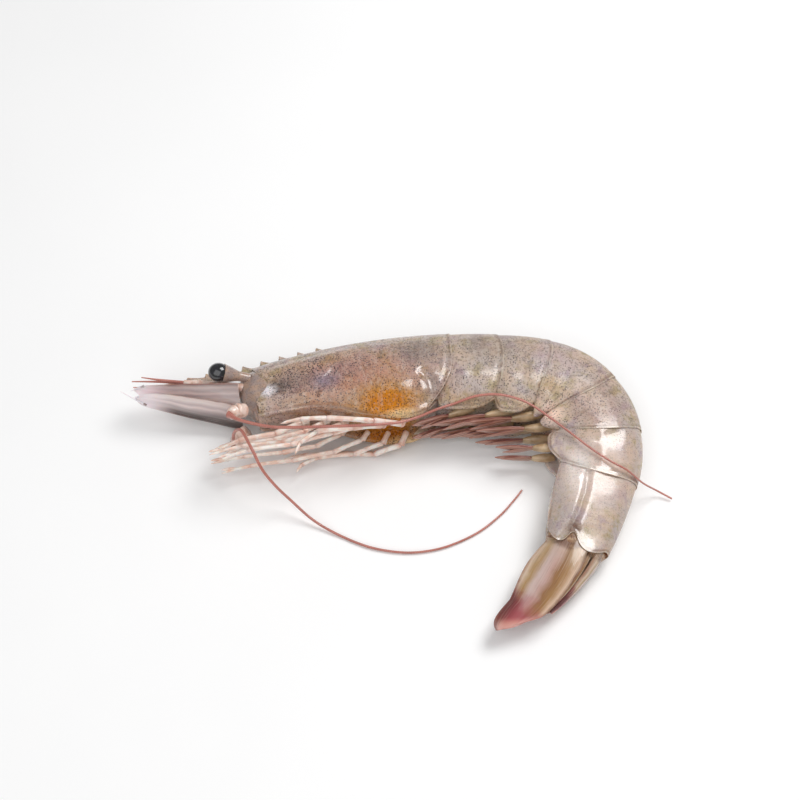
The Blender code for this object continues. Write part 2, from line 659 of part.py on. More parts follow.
# The base joints' path: s, dorsal and distance from the middle plane
ANTENNULE_BASE = (
    (-0.0034, 0.0004, 0.0013),
    (-0.0080, 0.0017, 0.0013),
    (-0.0120, 0.0029, 0.0012),
    (-0.0150, 0.0036, 0.0011),
)
ANTENNULE_RADII = (0.0011, 0.0011, 0.0009, 0.0006)
ANTENNULE_WHIPS = ((0.0004, 0.0262), (0.0016, 0.0240))  # spread to the side, and reach ahead
ANTENNULE_WHIP_RADII = (0.00042, 0.0003, 0.00018)


def antennule(name, side, material):
    """A short feeler between the scales: a jointed base that ends in two thin whips."""
    base = [place(s, dorsal, side * left) for s, dorsal, left in ANTENNULE_BASE]
    stem = limb(name, material, base, ANTENNULE_RADII, ANTENNULE_RADII, sides=6)
    whips = []
    for spread, reach in ANTENNULE_WHIPS:
        middle = place(-0.0205, 0.0045, side * (0.0010 + spread * 0.7))
        tip = place(-reach, 0.0054, side * (0.0008 + spread))
        start = base[-1].lerp(base[-2], 0.3)
        points = [start, middle, tip]
        whips.append(limb("whip", material, points, ANTENNULE_WHIP_RADII, ANTENNULE_WHIP_RADII, sides=5))
    return fuse(stem, whips)


# Making and joining objects


def paint(name, colour, roughness):
    material = bpy.data.materials.new(name)
    material.use_nodes = True
    shader = material.node_tree.nodes["Principled BSDF"]
    shader.inputs["Base Color"].default_value = (*colour, 1.0)
    shader.inputs["Roughness"].default_value = roughness
    shader.inputs["Metallic"].default_value = 0.0
    return material


def join_rings(bm, rings):
    """Quads between each ring of points and the next."""
    for ring, following in zip(rings, rings[1:]):
        for i in range(len(ring)):
            k = (i + 1) % len(ring)
            bm.faces.new((ring[i], ring[k], following[k], following[i]))


def finished(name, bm, material):
    """The object of a closed mesh, its faces turned out and shaded smooth."""
    bmesh.ops.recalc_face_normals(bm, faces=bm.faces)
    mesh = bpy.data.meshes.new(name)
    bm.to_mesh(mesh)
    bm.free()
    mesh.shade_smooth()
    mesh.set_sharp_from_angle(angle=math.radians(50.0))
    mesh.materials.append(material)
    obj = bpy.data.objects.new(name, mesh)
    bpy.context.scene.collection.objects.link(obj)
    return obj


def fuse(base, others):
    """Joins the others to the base as one closed solid, and removes them."""
    group = bpy.data.collections.new(base.name + "_pieces")
    bpy.context.scene.collection.children.link(group)
    for other in others:
        group.objects.link(other)
    union = base.modifiers.new("union", "BOOLEAN")
    union.operation = "UNION"
    union.solver = "MANIFOLD"
    union.operand_type = "COLLECTION"
    union.collection = group
    bpy.context.view_layer.update()
    joined = bpy.data.meshes.new_from_object(base.evaluated_get(bpy.context.evaluated_depsgraph_get()))
    base.modifiers.clear()
    base.data = joined
    for other in others:
        bpy.data.objects.remove(other)
    bpy.data.collections.remove(group)
    return base


def main():
    for obj in list(bpy.data.objects):
        bpy.data.objects.remove(obj)

    shell = paint("shell", (0.50, 0.46, 0.40), 0.30)
    tail = paint("tail", (0.42, 0.25, 0.22), 0.30)
    scale = paint("scale", (0.42, 0.37, 0.37), 0.35)
    limbs = paint("limbs", (0.85, 0.62, 0.52), 0.40)
    whips = paint("whips", (0.68, 0.33, 0.28), 0.40)
    eyes = paint("eyes", (0.01, 0.01, 0.01), 0.10)

    made = [head_shell(shell)]
    made += [abdomen_shell(number, shell) for number in range(1, 7)]
    made.append(telson(tail))
    for side, word in ((1, "left"), (-1, "right")):
        for place_word, sizes in TAIL_BLADES.items():
            made.append(tail_blade(f"tail_blade_{place_word}_{word}", tail, side, *sizes))
        made.append(eye(f"eye_{word}", side, eyes))
        made.append(antennal_scale(f"antennal_scale_{word}", side, scale))
        made.append(antennule(f"antennule_{word}", side, whips))
        made += [leg(kind, side, lane, limbs) for lane, kind in enumerate(LEG_PATHS)]
        made += [swimmeret(number, side, limbs) for number in range(1, 6)]
    made.append(antenna("antenna_left", 1, left_whip_route(), whips))
    made.append(antenna("antenna_right", -1, right_whip_route(), whips))

    prawn = bpy.data.objects.new("prawn", None)
    bpy.context.scene.collection.objects.link(prawn)
    for obj in made:
        obj.parent = prawn


main()
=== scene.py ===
"""The looks of a raw prawn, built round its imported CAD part.

The file is laid out as a Blender add-on and is run as a script. The prawn lies on its right side on
z = 0, with its head to -X, its back to +Y and its tail fan to -Y.

Spots on the body are given as s, back from the eye socket along the curled midline, dorsal, from the
midline towards the back, and left, from the middle plane towards the left flank, which faces up. Each
mesh carries a vector attribute named "spot", which its material reads: on the body it holds those three
in millimetres.
"""

import math

import bpy
import numpy as np
from mathutils import Matrix, Vector


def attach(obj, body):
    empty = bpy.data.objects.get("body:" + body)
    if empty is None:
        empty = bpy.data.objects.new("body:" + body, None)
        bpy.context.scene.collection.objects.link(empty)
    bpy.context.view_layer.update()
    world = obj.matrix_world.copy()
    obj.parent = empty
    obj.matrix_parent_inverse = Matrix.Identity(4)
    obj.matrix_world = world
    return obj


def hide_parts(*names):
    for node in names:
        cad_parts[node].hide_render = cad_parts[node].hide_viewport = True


bl_info = {
    "name": "Raw Prawn",
    "version": (1, 0, 0),
    "blender": (4, 5, 0),
    "location": "3D View > Sidebar > Prawn",
    "description": "Builds the looks of a raw prawn round its packed CAD part",
    "category": "Object",
}

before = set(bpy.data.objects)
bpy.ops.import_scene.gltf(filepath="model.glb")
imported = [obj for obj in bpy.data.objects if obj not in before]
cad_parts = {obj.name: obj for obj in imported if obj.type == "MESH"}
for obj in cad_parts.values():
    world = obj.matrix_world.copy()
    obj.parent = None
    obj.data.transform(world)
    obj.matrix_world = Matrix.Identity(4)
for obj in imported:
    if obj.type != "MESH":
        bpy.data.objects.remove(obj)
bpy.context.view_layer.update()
ROOT = "root"
MM = 0.001
SIDES = ((1, "left"), (-1, "right"))

# Length of each section along the midline in metres, and its turn towards the belly in degrees
SECTION_LENGTHS = (0.0425, 0.0100, 0.0100, 0.0105, 0.0090, 0.0095, 0.0172, 0.0240)
SECTION_TURNS = (5.0, 4.0, 10.0, 42.0, 30.0, 22.0, 6.0, 29.0)
SECTION_START = [sum(SECTION_LENGTHS[:i]) for i in range(len(SECTION_LENGTHS) + 1)]
SOCKET = (-0.0317, 0.0206)  # the eye socket, seen from above
HEAD_HEADING = 8.0  # degrees from +X, from head to tail, at the eye socket
HEAD_LENGTH = SECTION_LENGTHS[0]
TAIL_START = SECTION_START[7]

# Share of the head shell's length: height above the midline, level of the widest point, the shell's edge
# below the midline, half width, and how far that edge hangs below the belly
HEAD_ROWS = (
    (-0.07, 0.0030, -0.0008, 0.0040, 0.0022, 0.0002),
    (-0.03, 0.0043, -0.0012, 0.0060, 0.0035, 0.0003),
    (0.00, 0.0052, -0.0017, 0.0082, 0.0045, 0.0004),
    (0.10, 0.0062, -0.0016, 0.0084, 0.0056, 0.0006),
    (0.25, 0.0072, -0.0016, 0.0086, 0.0067, 0.0008),
    (0.42, 0.0083, -0.0020, 0.0102, 0.0076, 0.0012),
    (0.55, 0.0090, -0.0024, 0.0120, 0.0080, 0.0018),
    (0.72, 0.0096, -0.0022, 0.0132, 0.0082, 0.0028),
    (0.88, 0.0099, -0.0014, 0.0132, 0.0080, 0.0034),
    (1.00, 0.0100, -0.0006, 0.0122, 0.0078, 0.0034),
)
# Rear rim of each abdomen section: height above the midline, depth of the belly below it, half width
ABDOMEN_ROWS = (
    (0, 0.0100, 0.0086, 0.0077),
    (1, 0.0100, 0.0086, 0.0077),
    (2, 0.0100, 0.0084, 0.0076),
    (3, 0.0099, 0.0082, 0.0074),
    (4, 0.0096, 0.0081, 0.0068),
    (5, 0.0089, 0.0078, 0.0058),
    (6, 0.0072, 0.0064, 0.0045),
)
WIDEST_LEVEL = -0.0006  # of the abdomen
SIDE_PLATE_DROPS = (0.0030, 0.0036, 0.0038, 0.0038, 0.0032, 0.0006)  # how far they hang below the belly
SIDE_PLATE_THICKNESS = 0.0009
BELLY_BULGE = 0.0007
# A plate widens to its rear rim
PLATE_FLARE = ((0.0, 0.978), (0.12, 0.981), (0.32, 0.991), (0.9, 1.0), (1.0, 1.0))
RIM_BOW = 0.0013  # how far a plate's rear rim bows back at mid flank
RIM_BOW_LEVEL = 0.0085  # how far from the midline the bow ends
HEAD_RIM_BOW = 0.0006
HEAD_RIM_SWEEP = 45.0  # forward sweep of the head shell's rim, for each square metre below the midline
# Height of the middle plane above the surface, at the start of each section and at the end
LIE_HEIGHTS = (0.0079, 0.0078, 0.0074, 0.0072, 0.0068, 0.0062, 0.0052, 0.0042, 0.0032)
LIE_ROWS = tuple(enumerate(LIE_HEIGHTS))


# Where a spot on the body is


def smooth(rows, x):
    """The columns at x, which may be an array, on the smooth curve through rows of (x, value...)."""
    rows = np.array(rows, float)
    x = np.clip(np.asarray(x, float), rows[0, 0], rows[-1, 0])
    i = np.clip(np.searchsorted(rows[:, 0], x, side="right") - 1, 0, len(rows) - 2)
    before, low, high = rows[np.maximum(i - 1, 0)], rows[i], rows[i + 1]
    after = rows[np.minimum(i + 2, len(rows) - 1)]
    span = high[..., :1] - low[..., :1]
    t = (x[..., None] - low[..., :1]) / span
    leave = (high - before) / (high[..., :1] - before[..., :1]) * span
    arrive = (after - low) / (after[..., :1] - low[..., :1]) * span
    value = (
        (2 * t**3 - 3 * t**2 + 1) * low
        + (t**3 - 2 * t**2 + t) * leave
        + (3 * t**2 - 2 * t**3) * high
        + (t**3 - t**2) * arrive
    )
    return [value[..., k] for k in range(1, rows.shape[1])]


def arc_end(x, y, heading, bend, distance):
    """Where arcs that turn by bend radians a metre have come to, and their headings there."""
    end = heading + bend * distance
    straight = np.abs(bend) < 1e-6
    safe = np.where(straight, 1.0, bend)
    along = np.where(straight, np.cos(heading) * distance, (np.sin(end) - np.sin(heading)) / safe)
    aside = np.where(straight, np.sin(heading) * distance, -(np.cos(end) - np.cos(heading)) / safe)
    return x + along, y + aside, end


def midline_arcs():
    """Start s, x, y, heading and bend of each section's arc, as rows."""
    arcs = []
    x, y, heading = SOCKET[0], SOCKET[1], math.radians(HEAD_HEADING)
    for start, length, turn in zip(SECTION_START, SECTION_LENGTHS, SECTION_TURNS):
        bend = -math.radians(turn) / length
        arcs.append((start, x, y, heading, bend))
        x, y, heading = (float(v) for v in arc_end(x, y, heading, bend, length))
    return np.array(arcs)


ARCS = midline_arcs()


def midline(s):
    """x, y and heading of the midline at s."""
    s = np.asarray(s, float)
    arc = ARCS[np.clip(np.searchsorted(ARCS[:, 0], s, side="right") - 1, 0, len(ARCS) - 1)]
    bend = np.where(s < 0.0, 0.0, arc[..., 4])
    return arc_end(arc[..., 1], arc[..., 2], arc[..., 3], bend, s - arc[..., 0])


def lie_height(s):
    """Height of the middle plane above the surface."""
    s = np.asarray(s, float)
    starts = np.array(SECTION_START[:-1])
    i = np.clip(np.searchsorted(starts, s, side="right") - 1, 0, len(SECTION_LENGTHS) - 1)
    return smooth(LIE_ROWS, i + (s - starts[i]) / np.array(SECTION_LENGTHS)[i])[0]


def place(s, dorsal, left):
    """World points of spots on the body, as an array whose last axis is x, y, z."""
    s, dorsal, left = np.broadcast_arrays(*[np.asarray(v, float) for v in (s, dorsal, left)])
    x, y, heading = midline(s)
    return np.stack((x - np.sin(heading) * dorsal, y + np.cos(heading) * dorsal, lie_height(s) + left), -1)


def rim_bow(number, dorsal):
    """How far back the rear rim of a section's plate lies at this height on the flank."""
    if number == 0:
        return HEAD_RIM_BOW - HEAD_RIM_SWEEP * np.minimum(dorsal, 0.0) ** 2
    return RIM_BOW * (1.0 - (dorsal / RIM_BOW_LEVEL) ** 2)


def hump(x):
    """A smooth bump of height 1 at x = 0, which ends at x = 1 and -1."""
    return np.clip(1.0 - np.asarray(x) ** 2, 0.0, 1.0) ** 2


def step(x):
    """Rises smoothly from 0 at x = 0 to 1 at x = 1."""
    t = np.clip(x, 0.0, 1.0)
    return t * t * (3.0 - 2.0 * t)


def path_distance(s, dorsal, path):
    """Distance in the plane of s and dorsal, all in millimetres, from a line through the path's points."""
    best = np.full(np.broadcast(s, dorsal).shape, 1e9)
    for (s0, d0), (s1, d1) in zip(path, path[1:]):
        run, rise = s1 - s0, d1 - d0
        t = np.clip(((s - s0) * run + (dorsal - d0) * rise) / (run**2 + rise**2), 0.0, 1.0)
        best = np.minimum(best, np.hypot(s - s0 - t * run, dorsal - d0 - t * rise))
    return best


# Meshes

INSIDE = 9.0  # the edge attribute, in millimetres from a shell's margin, where there is none near
SHARP_ANGLE = math.radians(55.0)


class Shape:
    """Gathers closed lofts into one mesh, with the spot attribute that its material reads."""

    def __init__(self):
        self.points = []
        self.spots = []
        self.edges = []
        self.faces = []
        self.count = 0

    def loft(self, points, spots, edge=INSIDE):
        """Adds a closed tube. points and spots are (rings, points round, 3), and edge (rings, points)."""
        rings, around = points.shape[:2]
        index = self.count + np.arange(rings * around).reshape(rings, around)
        near, far = index[:-1], index[1:]
        quads = np.stack([near, np.roll(near, -1, 1), np.roll(far, -1, 1), far], -1)
        self.faces += quads.reshape(-1, 4).tolist()
        self.faces.append(index[0][::-1].tolist())
        self.faces.append(index[-1].tolist())
        self.points.append(points.reshape(-1, 3))
        self.spots.append(np.broadcast_to(spots, points.shape).reshape(-1, 3))
        self.edges.append(np.broadcast_to(edge, (rings, around)).ravel())
        self.count += rings * around

    def piece(self, name, material, node):
        """Makes the object, which rides on the body and stands for a CAD node."""
        mesh = bpy.data.meshes.new(name)
        mesh.from_pydata(np.concatenate(self.points).tolist(), [], self.faces)
        attribute = mesh.attributes.new("spot", "FLOAT_VECTOR", "POINT")
        attribute.data.foreach_set("vector", np.concatenate(self.spots).astype(np.float32).ravel())
        attribute = mesh.attributes.new("edge", "FLOAT", "POINT")
        attribute.data.foreach_set("value", np.concatenate(self.edges).astype(np.float32))
        mesh.shade_smooth()
        mesh.set_sharp_from_angle(angle=SHARP_ANGLE)
        mesh.materials.append(material)
        obj = bpy.data.objects.new(name, mesh)
        bpy.context.scene.collection.objects.link(obj)
        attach(obj, ROOT)
        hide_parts(node)


# Body shells

UPPER_POINTS = 30
LOWER_POINTS = 26
INNER_POINTS = 22
HEAD_RINGS = 150
PLATE_RINGS = 46
UPPER_FULLNESS = 1.08  # power of the flank's curve above its widest level
LOWER_DRAW_IN = 0.30  # how much narrower the flank is at its edge, as a share
LOWER_FULLNESS = 2.4  # power of the curve down to that edge
# Rings of a rear rim's lip: shares of its thickness inwards and ahead, and share of its depth ahead
LIP_RINGS = ((0.5, -0.25, 0.0), (1.0, 0.0, 0.0), (1.6, 0.0, 0.4), (3.0, 0.0, 1.0))


def half_ring(top, level, belly, half_width, drop):
    """Left half of cross-sections, from the mid back to the mid belly: dorsal and left, (rings, points)."""
    sizes = (top, level, belly, half_width, drop)
    top, level, belly, half_width, drop = (np.asarray(size, float)[:, None] for size in sizes)
    depth = belly + drop
    angle = np.linspace(0.0, math.pi / 2, UPPER_POINTS)[None, :]
    upper = (level + (top - level) * np.cos(angle), half_width * np.sin(angle) ** UPPER_FULLNESS)
    below = np.linspace(0.0, 1.0, LOWER_POINTS + 1)[None, 1:]
    lower = (level - below * (depth + level), half_width * (1.0 - LOWER_DRAW_IN * below**LOWER_FULLNESS))
    tip = half_width * (1.0 - LOWER_DRAW_IN)
    thick = SIDE_PLATE_THICKNESS
    zero = np.zeros_like(tip)
    knots = [
        (-depth, tip),
        (-(depth + 0.15 * thick), tip - 0.45 * thick),
        (-(belly + 0.80 * drop), tip - 0.95 * thick),
        (-belly, tip - 1.1 * thick),
        (-(belly + 0.35 * BELLY_BULGE), tip * 0.66),
        (-(belly + 0.85 * BELLY_BULGE), tip * 0.33),
        (-(belly + BELLY_BULGE), zero),
    ]
    share = np.linspace(0.0, len(knots) - 1.0, INNER_POINTS + 1)[1:]
    inner = []
    for column in (0, 1):
        rows = np.stack([knot[column][:, 0] for knot in knots], 0)
        table = np.concatenate((np.arange(len(knots))[:, None], rows), 1)
        inner.append(np.stack(smooth(table, share), 0))
    return tuple(np.concatenate((u, w, i), 1) for u, w, i in zip(upper, lower, inner))


def both_sides(dorsal, left):
    """Whole rings from left halves: the right half runs back up to the mid back."""
    return (
        np.concatenate((dorsal, dorsal[:, -2:0:-1]), 1),
        np.concatenate((left, -left[:, -2:0:-1]), 1),
    )


def outward(points):
    """Unit normals of a tube of rings."""
    along = np.gradient(points, axis=0)
    around = np.roll(points, -1, 1) - np.roll(points, 1, 1)
    normal = np.cross(around, along)
    length = np.linalg.norm(normal, axis=-1, keepdims=True)
    normal /= np.maximum(length, 1e-12)
    centre = points.mean(1, keepdims=True)
    if np.sum((points - centre) * normal) < 0.0:
        normal = -normal
    return normal


def lay_down(points):
    """Presses what would sink into the surface flat on it."""
    points[..., 2] = np.maximum(points[..., 2], 0.0)
    return points


def round_the_ring(dorsal):
    """By point of a ring: steps down from the mid back, 1 if outside, share up from the lower edge."""
    column = np.arange(dorsal.shape[1])[None, :]
    down = np.minimum(column, dorsal.shape[1] - column)
    outer = (down < UPPER_POINTS + LOWER_POINTS).astype(float)
    to_edge = (UPPER_POINTS + LOWER_POINTS - 1 - down) / LOWER_POINTS
    return down, outer, to_edge


def shell_loft(shape, s, dorsal, left, lift, lip, edge):
    """Adds a shell: lift raises its outside, and lip (thickness, depth) turns its rear rim inwards."""
    points = place(s, dorsal, left)
    points += outward(points) * lift[..., None]
    spots = np.stack((s, dorsal, left), -1) / MM
    thick, depth = lip
    back = points[-1:]
    heart = back.mean(1, keepdims=True)
    inward = (heart - back) / np.linalg.norm(heart - back, axis=-1, keepdims=True)
    heading = midline(s[-1].mean())[2]
    ahead = np.array((-math.cos(heading), -math.sin(heading), 0.0))
    rings = [points]
    for in_share, ahead_share, depth_share in LIP_RINGS:
        rings.append(back + inward * thick * in_share + ahead * (thick * ahead_share + depth * depth_share))
    turned = [spots] + [spots[-1:]] * len(LIP_RINGS)
    edges = [edge] + [edge[-1:] * 0.0] * len(LIP_RINGS)
    shape.loft(lay_down(np.concatenate(rings)), np.concatenate(turned), np.concatenate(edges))


# Creases and ridges of the head shell, in millimetres: path of (s, dorsal), width, height
HEAD_RELIEF = (
    (((4.0, 3.0), (9.0, 3.8), (15.0, 4.9), (20.0, 6.0)), 0.9, -0.20),
    (((4.6, -5.0), (8.0, -5.4), (12.0, -6.2)), 0.8, 0.20),
    (((12.2, -6.0), (14.5, -4.2), (17.0, -1.8), (18.4, 1.2)), 1.0, -0.36),
    (((3.0, -7.4), (7.0, -8.0), (11.0, -7.6), (12.8, -6.6)), 0.9, -0.26),
    (((13.5, -7.4), (20.0, -9.2), (27.0, -10.6), (33.0, -10.2)), 1.2, -0.18),
    (((18.0, -1.8), (25.0, -2.4), (33.0, -3.2), (36.5, -4.6)), 1.1, -0.18),
    (((36.6, -4.0), (38.0, -5.8), (38.4, -8.0), (36.8, -10.4)), 0.9, -0.42),
    (((34.8, -3.6), (35.8, -5.4), (36.0, -7.8)), 1.0, 0.18),
    (((20.0, -6.4), (26.0, -7.6), (31.0, -7.4)), 2.4, 0.24),
    (((11.0, -1.0), (17.0, -4.0), (22.0, -4.4)), 1.0, 0.14),
)
# Front edge of the head shell: dorsal, and how far back it lies, in millimetres. The orbit is a notch.
FRONT_MARGIN = (
    (-10.0, 0.6), (-8.0, 0.2), (-6.6, 0.5), (-5.4, 0.1), (-4.3, 0.9), (-2.9, 1.9), (-1.2, 2.4), (0.6, 1.6),
    (2.2, 0.9), (4.0, 0.2), (6.0, -0.4),
)
HEAD_RING_SPREAD = 0.92  # power that spreads the rings, closer to each other at the rear
# Bands along the lower margin and before the rear rim: share where each lies, its half width, its height
LOWER_BANDS = ((0.05, 0.09, 0.00014), (0.19, 0.10, -0.00012))
REAR_BAND = (0.975, 0.02, -0.00006)
HEAD_LIP = (0.0002, 0.0025)


def relief(s, dorsal, lines):
    """Height of ridges and creases, from lines of a path of (s, dorsal), a width and a height in mm."""
    lift = np.zeros_like(s)
    for line, width, height in lines:
        lift += height * MM * np.exp(-((path_distance(s / MM, dorsal / MM, line) / width) ** 2))
    return lift


def band(share, middle, half_width, height):
    """Height of a raised or sunken band along a shell."""
    return height * hump((share - middle) / half_width)


def build_head(shape):
    """The carapace: creased flanks, an orbit in front, and a raised band along the lower margin."""
    share = np.linspace(0.0, 1.0, HEAD_RINGS) ** HEAD_RING_SPREAD
    top, level, edge, half_width, drop = smooth(HEAD_ROWS, share)
    half = half_ring(top, level, edge - drop, half_width, drop)
    dorsal, left = both_sides(*half)
    _, outer, to_edge = round_the_ring(dorsal)
    share = share[:, None]
    front = smooth(FRONT_MARGIN, dorsal / MM)[0] * MM
    s = share * HEAD_LENGTH + share**4 * rim_bow(0, dorsal) + (1.0 - share) ** 5 * front
    lift = relief(s, dorsal, HEAD_RELIEF) + sum(band(to_edge, *row) for row in LOWER_BANDS)
    lift = (lift + band(share, *REAR_BAND)) * outer * step(share / 0.03)
    depth = (edge + level)[:, None] / MM
    margin = np.where(outer > 0, np.minimum(to_edge * depth, (1.0 - share) * HEAD_LENGTH / MM), INSIDE)
    shell_loft(shape, s, dorsal, left, lift, HEAD_LIP, margin)


FACE_SPAN = (-0.075, 0.12)  # shares of the head shell's length
FACE_SIZE = 0.90  # of the head shell's cross-section
FACE_TUCK = 0.06  # how much smaller it is inside the shell
FACE_WRINKLE = 0.00012


def build_face(shape):
    """The soft part that fills the head shell's mouth and narrows to the roots of the feelers."""
    share = np.linspace(*FACE_SPAN, 30)
    top, level, edge, half_width, drop = smooth(HEAD_ROWS, share)
    shrink = FACE_SIZE - FACE_TUCK * step((share - 0.04) / 0.05)
    shrink = shrink * np.sqrt(np.clip((share + 0.080) / 0.02, 0.05, 1.0))
    half = half_ring(top * shrink, level, (edge - drop) * shrink, half_width * shrink, drop)
    dorsal, left = both_sides(*half)
    s = share[:, None] * HEAD_LENGTH + dorsal * 0.0
    wrinkle = FACE_WRINKLE * np.sin(s / 0.00055) * np.sin(dorsal / 0.0011)
    points = place(s, dorsal, left)
    points += outward(points) * wrinkle[..., None]
    shape.loft(lay_down(points), np.stack((s, dorsal, left), -1) / MM)


# Folds of the abdomen plates, in each section: path of (share, dorsal in mm), width and height in mm
PLATE_RELIEF = {
    1: ((((0.42, 6.0), (0.36, 0.0), (0.46, -6.0)), 1.3, -0.05),),
    2: ((((0.38, 7.0), (0.42, 1.0), (0.55, -5.0)), 1.4, -0.05),),
    3: ((((0.30, 8.0), (0.40, 2.0), (0.62, -5.0)), 1.5, -0.05), (((0.2, -5.6), (0.8, -6.6)), 1.1, -0.18)),
    4: ((((0.25, 6.0), (0.42, 0.0), (0.60, -5.0)), 1.6, -0.07), (((0.2, -5.4), (0.9, -6.0)), 1.1, -0.20)),
    5: ((((0.2, -4.6), (0.9, -4.4)), 1.1, -0.24), (((0.16, 4.0), (0.3, -1.0)), 1.2, -0.14)),
    6: (
        (((0.06, -1.8), (0.30, -1.2), (0.60, -1.3), (0.84, -1.9), (0.97, -3.2)), 0.6, -0.44),
        (((0.06, -1.8), (0.03, -3.2), (0.05, -5.2)), 0.7, -0.30),
        (((0.20, -4.0), (0.5, -3.9), (0.84, -4.2)), 2.1, 0.44),
    ),
}
PLATE_START = -0.10  # share of its length at which a plate starts, under the one before it
PLATE_OVERHANG = 0.0005  # how far its rear rim reaches over the next one
PLATE_LIP = (0.00014, 0.0016)
PLATE_EDGE_BAND = (0.03, 0.09, 0.00006)
PLATE_REAR_BAND = (0.93, 0.05, -0.00004)
BELLY_RIB = 0.0005  # height of the ridge across the belly of each section
BELLY_RIB_SHARE = 0.45  # of the section's length, where it lies
SIDE_PLATE_CORNER = 0.12  # share of a side plate's drop that is left at its front and rear corners
SIDE_PLATE_ROUND = 3.2  # power of the curve between them
PLATE_TUCK = 0.05  # how much smaller a plate's front end is, under the plate before it

# Flattened band along the upper flank of a plate: its tilt from the flank towards the back, and its depth
FACETS = {
    5: (math.radians(14.0), 0.00024),
    6: (math.radians(15.0), 0.00046),
}

# The last ring's rear rim: a lobe and a notch, as dorsal and how much further it reaches, in millimetres
LAST_RIM = (
    (-6.6, -1.2), (-5.6, -0.2), (-4.4, 0.7), (-3.2, 0.7), (-2.2, 0.0), (-1.4, -1.9), (-0.6, -2.2),
    (0.4, -0.9), (1.8, 0.3), (3.4, 0.6), (5.0, 0.2), (6.6, -0.8),
)


def facet(number, share, dorsal, left):
    """How far the flattened band along a plate's upper flank lies under the round one."""
    tilt, cut = FACETS[number]
    reach = dorsal * math.sin(tilt) + left * math.cos(tilt)
    over_cut = reach - reach.max(1, keepdims=True) + cut
    return 0.5 * (over_cut + np.hypot(over_cut, 0.4 * cut)) * (1.0 - step((share - 0.85) / 0.2))


def build_plate(shape, number):
    """One ring of the abdomen, from under the rim before it to its own rear rim."""
    start, length = SECTION_START[number], SECTION_LENGTHS[number]
    over = PLATE_OVERHANG / length if number < 6 else 0.0
    share = np.linspace(PLATE_START, 1.0 + over, PLATE_RINGS)
    inside = np.clip(share, 0.0, 1.0)
    top, belly, half_width = smooth(ABDOMEN_ROWS, number - 1 + inside)
    flare = smooth(PLATE_FLARE, inside)[0] - PLATE_TUCK * step(share / PLATE_START)
    rounded = 1.0 - np.abs(2.0 * inside - 1.0) ** SIDE_PLATE_ROUND
    drop = SIDE_PLATE_DROPS[number - 1] * (SIDE_PLATE_CORNER + (1.0 - SIDE_PLATE_CORNER) * rounded)
    level = np.full_like(top, WIDEST_LEVEL)
    half = half_ring(top * flare, level, belly, half_width * flare, drop)
    dorsal, left = both_sides(*half)
    down, outer, to_edge = round_the_ring(dorsal)
    share = share[:, None]
    bow = (1.0 - share) * rim_bow(number - 1, dorsal) + share * rim_bow(number, dorsal)
    if number == 6:
        bow = bow + step((share - 0.70) / 0.30) * smooth(LAST_RIM, dorsal / MM)[0] * MM
    s = start + share * length + bow
    folds = []
    for line, width, height in PLATE_RELIEF[number]:
        folds.append(([(at * length / MM, level_mm) for at, level_mm in line], width, height))
    lift = relief(share * length + dorsal * 0.0, dorsal, folds)
    lift += band(to_edge, *PLATE_EDGE_BAND) + band(share, *PLATE_REAR_BAND)
    if number in FACETS:
        lift -= facet(number, share, dorsal, left)
    under = (1.0 - outer) * hump((down - dorsal.shape[1] / 2) / (INNER_POINTS * 0.8))
    lift = lift * outer + under * BELLY_RIB * np.cos((share - BELLY_RIB_SHARE) * 2.0 * math.pi)
    depth = (belly + drop + level)[:, None] / MM
    margin = np.where(outer > 0, np.minimum(to_edge * depth, (1.0 + over - share) * length / MM), INSIDE)
    shell_loft(shape, s, dorsal, left, lift, PLATE_LIP, margin)


ROSTRUM_ROOT = 0.0180  # where its ridge rises out of the back of the head shell
ROSTRUM_REACH = 0.0205  # ahead of the eye socket
ROSTRUM_BARE = 0.0060  # length of its tip, which has no teeth
ROSTRUM_SUNK = 0.0040  # length of its ridge behind the root, which dips under the shell
ROSTRUM_TEETH = 8
ROSTRUM_TOOTH_HEIGHT = 0.0014
ROSTRUM_TOOTH_RISE = 0.93  # share of a tooth's pitch over which it rises
ROSTRUM_TOOTH_CURVE = 2.2  # power of that rise
ROSTRUM_DIP = 0.0022  # how deep its ridge dips under the shell
ROSTRUM_SLIM = 0.75  # how much slimmer it is at its tip, as a share
ROSTRUM_HALF_THICKNESS = 0.0009
ROSTRUM_DEPTH = 0.0016  # from its ridge down, at its root
ROSTRUM_BELLY = 0.0006  # how much deeper it is half way to its tip


